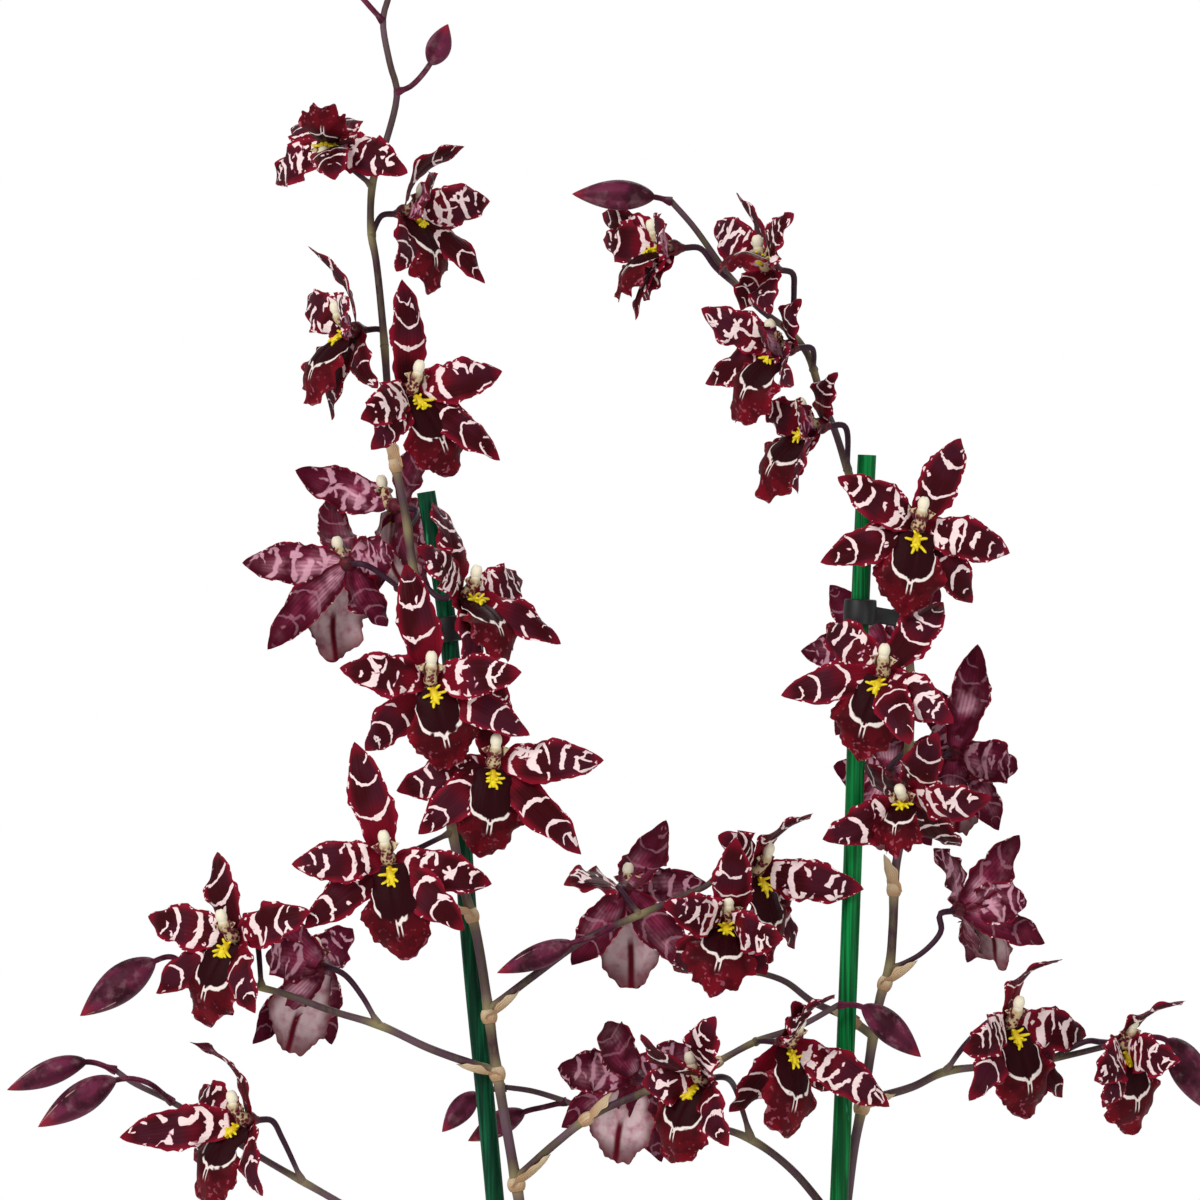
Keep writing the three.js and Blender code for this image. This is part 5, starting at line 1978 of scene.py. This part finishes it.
@dataclass
class Bloom:
    """An open bloom.

    Its pedicel's way, the seat where that ends, the way its face looks (yaw to the right,
    pitch upwards, roll clockwise) and the tips of its tepals, a third number being a depth
    behind the seat.
    """

    name: str
    spike: str
    stalk: tuple[Point, ...]
    seat: Point
    look: Point
    tips: tuple[Point, ...]
    hub_length: float = 4.5
    hub_radius: float = 3
    claw: float = 1.5
    column_rise: float = 7.5
    column_reach: float = 7
    column_radius: float = 2
    most_twist: float = 30
    arch_width: float = 0.85
    arch_twist: float = 12

    def __post_init__(self) -> None:
        """Works out the way that the bloom faces, its up, its right, its base and its centre."""
        yaw, pitch, roll = (angle * DEGREE for angle in self.look)
        flat = math.cos(pitch)
        self.face = Vector((math.sin(yaw) * flat, -math.cos(yaw) * flat, math.sin(pitch)))
        level = UP.cross(self.face).normalized()
        rise = self.face.cross(level)
        self.up = rise * math.cos(roll) + level * math.sin(roll)
        self.right = level * math.cos(roll) - rise * math.sin(roll)
        self.base = VIEW.at(self.seat)
        self.centre = self.base + self.face * self.hub_length

    def _tip(self, pixel: Point, length: float, wanted: Vector) -> Vector:
        """A tepal's tip, on the sight line of its pixel.

        Args:
            pixel: The tip's pixel, with its own depth if it has one.
            length: The tepal's length.
            wanted: The way that it would spread.

        Returns:
            The place, on whichever side of the centre agrees with the spread.
        """
        centre = self.centre
        level = VIEW.at(pixel, centre.y)
        short = (level - centre).length
        if len(pixel) > 2 or short >= length:
            return level
        rest = math.sqrt(length * length - short * short)
        near, far = VIEW.at(pixel, centre.y - rest), VIEW.at(pixel, centre.y + rest)
        return near if (near - centre).dot(wanted) > (far - centre).dot(wanted) else far

    def build(self, seed: int, coats: dict[str, Material]) -> None:
        """Makes the bloom's pieces.

        Args:
            seed: What its waves and twists are drawn from.
            coats: The material of each piece.
        """
        face, node = self.face, f"bloom_{self.name}"
        makers = {part: Maker(f"{node}_{part}") for part in coats}
        draw = draws(seed)
        for tepal, pixel in zip(Tepal, self.tips):
            spread = tepal.value
            turn = spread.round * DEGREE
            wanted = self.up * math.cos(turn) + self.right * math.sin(turn)
            lean = spread.lean * DEGREE
            wanted = wanted * math.cos(lean) + face * math.sin(lean)
            tip = self._tip(pixel, spread.length, wanted)
            outwards = (tip - self.centre).normalized()
            root = self.centre + face * spread.back + outwards * self.claw
            phase = next(draw) * 2 * math.pi
            twist = (next(draw) - 0.5) * self.most_twist
            # A tepal that points along the bloom's face shows its front towards the axis.
            ahead = (tip - root).normalized().dot(face)
            looks = face - wanted * math.copysign(1.2, ahead) * blend(0.6, 0.95, abs(ahead))
            if tepal is Tepal.LIP:
                # A lip held towards the viewer is folded narrower.
                width = spread.width * (1 - 0.3 * blend(0.7, 0.9, abs(ahead)))
                form = Apron(
                    width, 1.1, fan, 36, 36, bow=4, cup=3, wave=0.6, waves=2.2, phase=phase,
                    keel=0.5, rounding=0.2, curl=2.5,
                )
                form.grow(makers["lip"], root, tip, looks)
                self._crest(makers["callus"], root, tip, looks)
                continue
            wide = tepal in (Tepal.PETAL_RIGHT, Tepal.PETAL_LEFT)
            form = Blade(
                spread.width, 0.9, lance, 14, 40, bow=3, cup=0.8, twist=twist,
                wave=0.9, waves=2.2, ragged=0.08, phase=phase, ruffle=1.4 if wide else 1.0,
                ruffles=3.6 if wide else 2.8, teeth=0.11, tooth_count=15, keel=0.45, curl=1.5,
            )
            if tepal is Tepal.DORSAL and self.name in ARCHED:
                edge = (tip - root).cross(INWARDS).normalized()
                looks = edge * math.copysign(1, edge.dot(face)) - INWARDS * 0.3
                width, bow = spread.width * self.arch_width, ARCHED[self.name]
                form = replace(form, width=width, bow=bow, twist=self.arch_twist)
            form.grow(makers["petals" if wide else "sepals"], root, tip, looks)
        self._column(makers["column"])
        for part, maker in makers.items():
            place_piece(maker.finish(coats[part], sharp=70), node)

    def _column(self, maker: Maker) -> None:
        """Adds the ovary, hub and column, which carries two side lobes and ends in a cap.

        Args:
            maker: The mesh.
        """
        centre, face, up = self.centre, self.face, self.up
        rise, reach, thick = up * self.column_rise, face * self.column_reach, self.column_radius
        # Each knot is an offset from the centre, and the radius there.
        knots = (
            (self.base - centre, 1.4), (face * -0.8, self.hub_radius),
            (face * 2.2 + up * 0.3, self.hub_radius * 0.85), (reach * 0.62 + rise * 0.3, thick),
            (reach * 0.86 + rise * 0.56, thick * 1.06), (reach + rise * 0.8, thick * 0.8),
            (reach * 1.04 + rise * 0.92, thick * 0.5),
        )
        curve = Curve([centre + offset for offset, _ in knots])
        radii = [radius for _, radius in knots]

        def radius(t: float, turn: float) -> float:
            """The radius between one knot and the next."""
            spot = curve.share(t) * (len(radii) - 1)
            index = min(int(spot), len(radii) - 2)
            part = blend(0, 1, spot - index)
            return radii[index] + (radii[index + 1] - radii[index]) * part

        maker.tube(curve.stations(28), radius, 16)
        ahead = (rise * 0.5 + reach * 0.24).normalized()
        maker.fresh()
        bmesh.ops.create_uvsphere(maker.bm, u_segments=18, v_segments=12, radius=thick * 1.02)
        middle = centre + reach * 1.06 + rise * 0.98
        turn = UP.rotation_difference(ahead).to_matrix()
        for vert in maker.fresh():
            pinch = 1 - 0.12 * math.exp(-((vert.co.x / (0.3 * thick)) ** 2)) * (vert.co.z > 0)
            stretched = Vector((vert.co.x, vert.co.y, vert.co.z * 1.4 * pinch))
            vert.co = middle + turn @ stretched
            vert[maker.growth] = Vector((0, 1, 0))
        lobe = Blade(
            5.2, 0.6, scale_leaf, 8, 8, cup=-0.4, ruffle=0.6, ruffles=1.6, teeth=0.2,
            tooth_count=4, phase=self.look[0], rounding=0.25,
        )
        sideways = up.cross(face)
        for hand in (-1, 1):
            root = centre + reach * 0.8 + rise * 0.5 + sideways * hand * thick * 0.6
            lobe.grow(maker, root, root + sideways * hand * 4 + ahead * 1.2, face)

    def _crest(self, maker: Maker, root: Vector, tip: Vector, face: Vector) -> None:
        """Adds the callus: a short ridge at the lip's foot with spreading prongs.

        Args:
            maker: The mesh.
            root: Where the lip grows from.
            tip: Where it ends.
            face: The way that its front looks.
        """
        axis = (tip - root).normalized()
        side = axis.cross(face).normalized()
        normal = side.cross(axis)
        rng = random.Random(self.name)

        def on_lip(share: float) -> Vector:
            """A place over the lip's keel."""
            return root.lerp(tip, share) + normal * (4 * math.sin(math.pi * share) + 0.4)

        ridge = Curve([on_lip(share) for share in (0.03, 0.1, 0.17, 0.22)])
        maker.tube(
            ridge.stations(10), lambda t, a: 1.5 * math.sin(math.pi * (0.12 + 0.76 * t)) ** 0.6, 14
        )
        for share, aside, ahead, lift, thick in PRONGS:
            for hand in (-1, 1):
                start = on_lip(share) + side * hand * 0.5
                reach = side * hand * aside + axis * ahead + normal * lift
                reach = reach * rng.uniform(0.5, 1.35) + axis * rng.uniform(-1.3, 1.3)
                wander = Vector(rng.uniform(-0.6, 0.6) for _ in range(3))
                middle = start + reach * 0.5 + normal * 0.5 + wander
                maker.tube(
                    Curve([start, middle, start + reach + wander]).stations(8),
                    lambda t, a: thick * (1 - 0.4 * t) * (1 if t < 0.99 else 0.3), 8,
                )


# The callus prongs: where on the lip each pair starts, its reach sideways, ahead and up off
# the lip, and its radius.
PRONGS = (
    (0.06, 1.9, -0.5, 1.7, 0.65), (0.11, 3.4, 0.1, 1.2, 0.7), (0.15, 2.5, 1.4, 1.2, 0.65),
    (0.18, 0.8, 1.9, 0.9, 0.7), (0.13, 1.1, 0.4, 2.2, 0.6),
)


BLOOMS = (
    Bloom("left_01", "left", ((374, 186, 0),), (334, 150, -4), (-15, 20, 180),
          ((334, 176), (294, 122), (348, 116), (272, 183), (406, 171), (322, 112))),
    Bloom("left_02", "left", ((372, 236, 0),), (395, 214, -3), (55, 5, 5),
          ((468, 149), (487, 281), (400, 270), (492, 201), (432, 176), (437, 287))),
    Bloom("left_03", "left", ((384, 346, 0),), (366, 330, -2), (-60, 0, 0),
          ((304, 248), (374, 388, -14), (328, 420, 12), (345, 300), (304, 296), (304, 399, -6))),
    Bloom("left_04", "left", ((390, 420, 0),), (402, 392, -12), (30, 5, 5),
          ((404, 279), (501, 459), (374, 448), (503, 371), (364, 418), (453, 472))),
    Bloom("left_05", "left", ((408, 604, -4), (372, 568, -4)), (353, 564, 0), (-150, 0, 0),
          ((330, 496), (266, 649, -8), (386, 628, -4),
           (242, 563, -2), (396, 552, -12), (332, 656, 12))),
    Bloom("left_06", "left", ((414, 572, -2),), (452, 596, -12), (50, 5, 0),
          ((435, 500), (562, 642), (470, 668), (526, 580), (420, 548), (508, 655))),
    Bloom("left_07", "left", ((430, 690, -5),), (430, 682, -28), (4, 5, 0),
          ((406, 563), (530, 735), (364, 752), (520, 672), (341, 668), (452, 767))),
    Bloom("left_08", "left", ((441, 764, -5),), (490, 764, -18), (12, 5, 0),
          ((492, 668, 5), (582, 854), (419, 834), (604, 760), (396, 791), (485, 855))),
    Bloom("left_09", "left", ((452, 832, -5),), (390, 860, -26), (-4, 5, -8),
          ((354, 742), (464, 930), (304, 928), (492, 884), (292, 864), (406, 958))),
    Bloom("left_10", "left", ((408, 530, -1),), (404, 508, 16), (-130, 10, 0),
          ((430, 440, 8), (376, 588, 14), (428, 592), (295, 471), (446, 540), (400, 590))),
    Bloom("branch_01", "left", ((262, 988, -9),), (244, 936, -10), (-35, 0, -5),
          ((214, 851), (252, 1012), (154, 993), (308, 912), (146, 917), (199, 1021))),
    Bloom("branch_02", "left", ((378, 1026, -9), (362, 996, -6), (345, 975, -4)),
          (326, 967, 0), (-160, 0, 0),
          ((259, 910), (252, 1043), (330, 1042), (262, 955), (350, 930, 20), (286, 1050))),
    Bloom("branch_03", "left", ((300, 1180, -11), (282, 1138, -12)),
          (258, 1120, -20), (-50, 5, 0),
          ((186, 1045), (259, 1195), (190, 1160), (119, 1137), (196, 1090), (199, 1200))),
    Bloom("branch_04", "left", ((640, 916, -10),), (622, 889, -2), (170, -5, 0),
          ((666, 823), (693, 970, -6), (572, 966, -6), (705, 884), (566, 882), (632, 984, 9))),
    Bloom("branch_05", "left", ((722, 872, -7),), (742, 870, -6), (50, 0, 0),
          ((816, 817), (798, 949), (714, 935, 14), (864, 890), (722, 836), (771, 961))),
    Bloom("branch_06", "right", ((747, 971, 0), (742, 950, -4)), (728, 920, -18), (0, 0, 0),
          ((736, 840), (766, 974, -4), (672, 973), (780, 940), (666, 905), (712, 989))),
    Bloom("branch_07", "left", ((756, 1042, -12),), (776, 1042, -22), (40, 0, 5),
          ((838, 998), (834, 1090, 14), (731, 1114, 2),
           (891, 1106, 4), (796, 1004, -20), (788, 1134, -12))),
    Bloom("branch_08", "left", ((656, 1088, -13),), (639, 1078, -2), (-165, 0, 0),
          ((602, 1021), (562, 1126, 8), (660, 1160), (555, 1068), (700, 1050), (614, 1159))),
    Bloom("branch_09", "right", ((751, 1140, 8), (743, 1112, 6), (736, 1090, 2)),
          (712, 1078, -24), (-40, 0, 0),
          ((640, 1038), (725, 1145), (660, 1140), (712, 1018), (642, 1084, -3), (668, 1160))),
    Bloom("branch_10", "right", ((946, 1072, 10), (965, 1045, 4)), (1000, 1022, -4), (30, 0, 0),
          ((1066, 963), (1065, 1098), (972, 1100), (1089, 1036), (966, 1050), (1031, 1115))),
    Bloom("branch_11", "right", ((1050, 1059, 9), (1088, 1041, 4)), (1111, 1043, 0), (35, 0, 0),
          ((1188, 1005), (1150, 1110), (1106, 1106),
           (1178, 1062, -15), (1098, 1080), (1135, 1132))),
    Bloom("right_01", "right", ((740, 290, 0), (716, 268, -4)), (684, 248, -8), (-70, 0, 0),
          ((599, 214), (632, 318, -10), (640, 300, 14), (660, 222), (600, 240), (614, 292, -4))),
    Bloom("right_02", "right", ((792, 333, 0), (794, 290, -2)), (780, 270, -8), (-50, 10, 0),
          ((732, 194), (768, 312, -12), (738, 308, 2), (790, 214), (714, 220), (726, 262, -20))),
    Bloom("right_03", "right", ((813, 370, 0),), (798, 348, -10), (-55, 0, 0),
          ((798, 300, -14), (790, 384), (703, 383), (760, 330, -26), (700, 310, 2), (734, 419))),
    Bloom("right_04", "right", ((848, 470, 5),), (830, 426, -8), (-60, 0, 0),
          ((834, 372, -6), (794, 492), (763, 481), (800, 412, -26), (762, 406, 4), (758, 494))),
    Bloom("right_05", "right", ((880, 546, 7),), (916, 528, -16), (4, 5, 10),
          ((962, 437), (974, 604), (821, 562), (1011, 553), (839, 477), (904, 613))),
    Bloom("right_06", "right", ((911, 700, 6),), (886, 674, -20), (-12, 5, 10),
          ((944, 600), (908, 742), (781, 695), (952, 722), (824, 623), (856, 756))),
    Bloom("right_07", "right", ((905, 796, 6),), (912, 790, -8), (-20, -30, 0),
          ((936, 735), (960, 850), (860, 760), (990, 800), (824, 841), (892, 850, -14))),
    Bloom("right_08", "right", ((907, 780, 6), (930, 764, 6)), (951, 754, 10), (160, 0, 0),
          ((979, 644, -4), (948, 806, -4), (1000, 830, -4),
           (935, 690, 16), (1021, 769), (958, 830, 12))),
    Bloom("right_09", "right", ((889, 970, 6), (922, 953, 4), (941, 931, 4)),
          (952, 911, 6), (130, 10, 0),
          ((1022, 835), (970, 960), (1047, 942), (937, 849), (1030, 900), (1000, 960))),
    Bloom("right_10", "right", ((910, 678, 6),), (884, 656, 18), (175, 0, 0),
          ((830, 585, 2), (900, 738, -4), (836, 735, 4),
           (940, 590, 4), (801, 651, 4), (872, 735, 8))),
    Bloom("right_11", "right", ((905, 748, 6),), (890, 768, 32), (-170, -20, 0),
          ((890, 690, 16), (858, 846, 2), (930, 846, 2),
           (834, 768, 6), (960, 740, 16), (890, 848, 8))),
)


# The setting


@dataclass
class Lamp:
    """A soft square lamp: its place and size in metres, and its power in watts."""

    name: str
    spot: Point
    size: float
    power: float
    aim: Point = (0, 0, 0.5)

    def build(self) -> None:
        """Adds the lamp, which looks at the middle of the plant."""
        lamp = bpy.data.lights.new(self.name, "AREA")
        lamp.size, lamp.energy = self.size, self.power
        piece = add_object(self.name, lamp)
        piece.location = self.spot
        ahead = Vector(self.aim) - Vector(self.spot)
        piece.rotation_euler = ahead.to_track_quat("-Z", "Y").to_euler()


@dataclass
class Studio:
    """The plain pale floor, the even light and the white ground behind."""

    floor_radius: float = 3.3
    floor_sides: int = 96
    ground: float = 1.0
    fill: float = 0.42
    lamps: tuple[Lamp, ...] = (
        Lamp("key", (-1.3, -1.9, 1.8), 0.9, 37), Lamp("fill", (1.6, -1.5, 0.9), 1.4, 8),
        Lamp("back", (0.5, 1.5, 1.7), 1.0, 12),
    )

    def build(self) -> None:
        """Adds the floor, the world and the lamps."""
        bm = bmesh.new()
        bmesh.ops.create_circle(
            bm, cap_ends=True, segments=self.floor_sides, radius=self.floor_radius
        )
        mesh = bpy.data.meshes.new("floor")
        bm.to_mesh(mesh)
        bm.free()
        mesh.materials.append(FloorFinish().material())
        add_object("floor", mesh)
        self._world()
        for lamp in self.lamps:
            lamp.build()
        bpy.context.scene.view_settings.view_transform = "Standard"

    def _world(self) -> None:
        """Makes the ground white to the camera, and softer as a light."""
        world = bpy.data.worlds.new("white_ground")
        world.use_nodes = True
        bpy.context.scene.world = world
        world.node_tree.nodes.clear()
        wires = Wires(world.node_tree)
        white = (1, 1, 1, 1)
        lit, seen = (
            wires.add("ShaderNodeBackground", {"Color": white, "Strength": strength})
            for strength in (self.fill, self.ground)
        )
        camera = wires.add("ShaderNodeLightPath", {}, "Is Camera Ray")
        both = wires.add("ShaderNodeMixShader", {0: camera, 1: lit, 2: seen})
        output = world.node_tree.nodes.new("ShaderNodeOutputWorld")
        wires.put(both, output.inputs[0])


def corners(box: Sequence[Vector]) -> list[list[float]]:
    """A box as plain lists of numbers."""
    return [[float(value) for value in corner] for corner in box]


def main() -> None:
    """Builds the setting and each sub-assembly in order."""
    logging.basicConfig(level=logging.INFO, format="%(name)s: %(message)s")
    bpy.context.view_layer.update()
    VIEW.make_camera()
    Studio().build()
    leaf, paper = LeafFinish().material(), PaperFinish().material()
    bulb = LeafFinish("bulb", "5d7d30", "8a9f4a", "a99a55", 8.0).material()
    bark = BarkFinish().material()
    dark_cane = StakeFinish("cane_left", "023220", "07603a").material()
    cane_coats = (dark_cane, StakeFinish("cane_right").material())
    pot, mix = Pot(), BarkMix()
    cluster = Cluster(mix.top)
    spikes = [Spike(stem) for stem in STEMS]
    pot.build(PlasticFinish("pot_plastic", "1d1e20", "5b5650", 0.42).material())
    rising = [cane.line() for cane in CANES] + [spike.main for spike in spikes]
    keep_off = [min(line, key=lambda stop: abs(stop.place.z - mix.top)).place for line in rising]
    mix.build(pot, keep_off, bark)
    cluster.build(bulb, paper)
    Leaves().build(cluster, leaf)
    clip_coat = PlasticFinish("clip_plastic", "0b0b0d", "3a3a3c", 0.3).material()
    for cane, clip, stem, cane_coat in zip(CANES, CLIPS, STEMS, cane_coats):
        cane.build(cane_coat)
        clip.build(cane, stem, clip_coat)
    stem_coat, bud_coat = StemFinish().material(), BudFinish().material()
    for spike in spikes:
        spike.build(stem_coat, bud_coat, paper)
    coats = {
        "sepals": TepalFinish("sepal", SEPAL_ARCS, 0, 0.2).material(),
        "petals": TepalFinish("petal", PETAL_ARCS, 0.4, 0.42).material(),
        "lip": LipFinish().material(),
        "column": ColumnFinish().material(),
        "callus": CallusFinish().material(),
    }
    for seed, bloom in zip(count(BLOOM_SEED, SEED_STEP), BLOOMS):
        bloom.build(seed, coats)


if __name__ == "__main__":
    main()
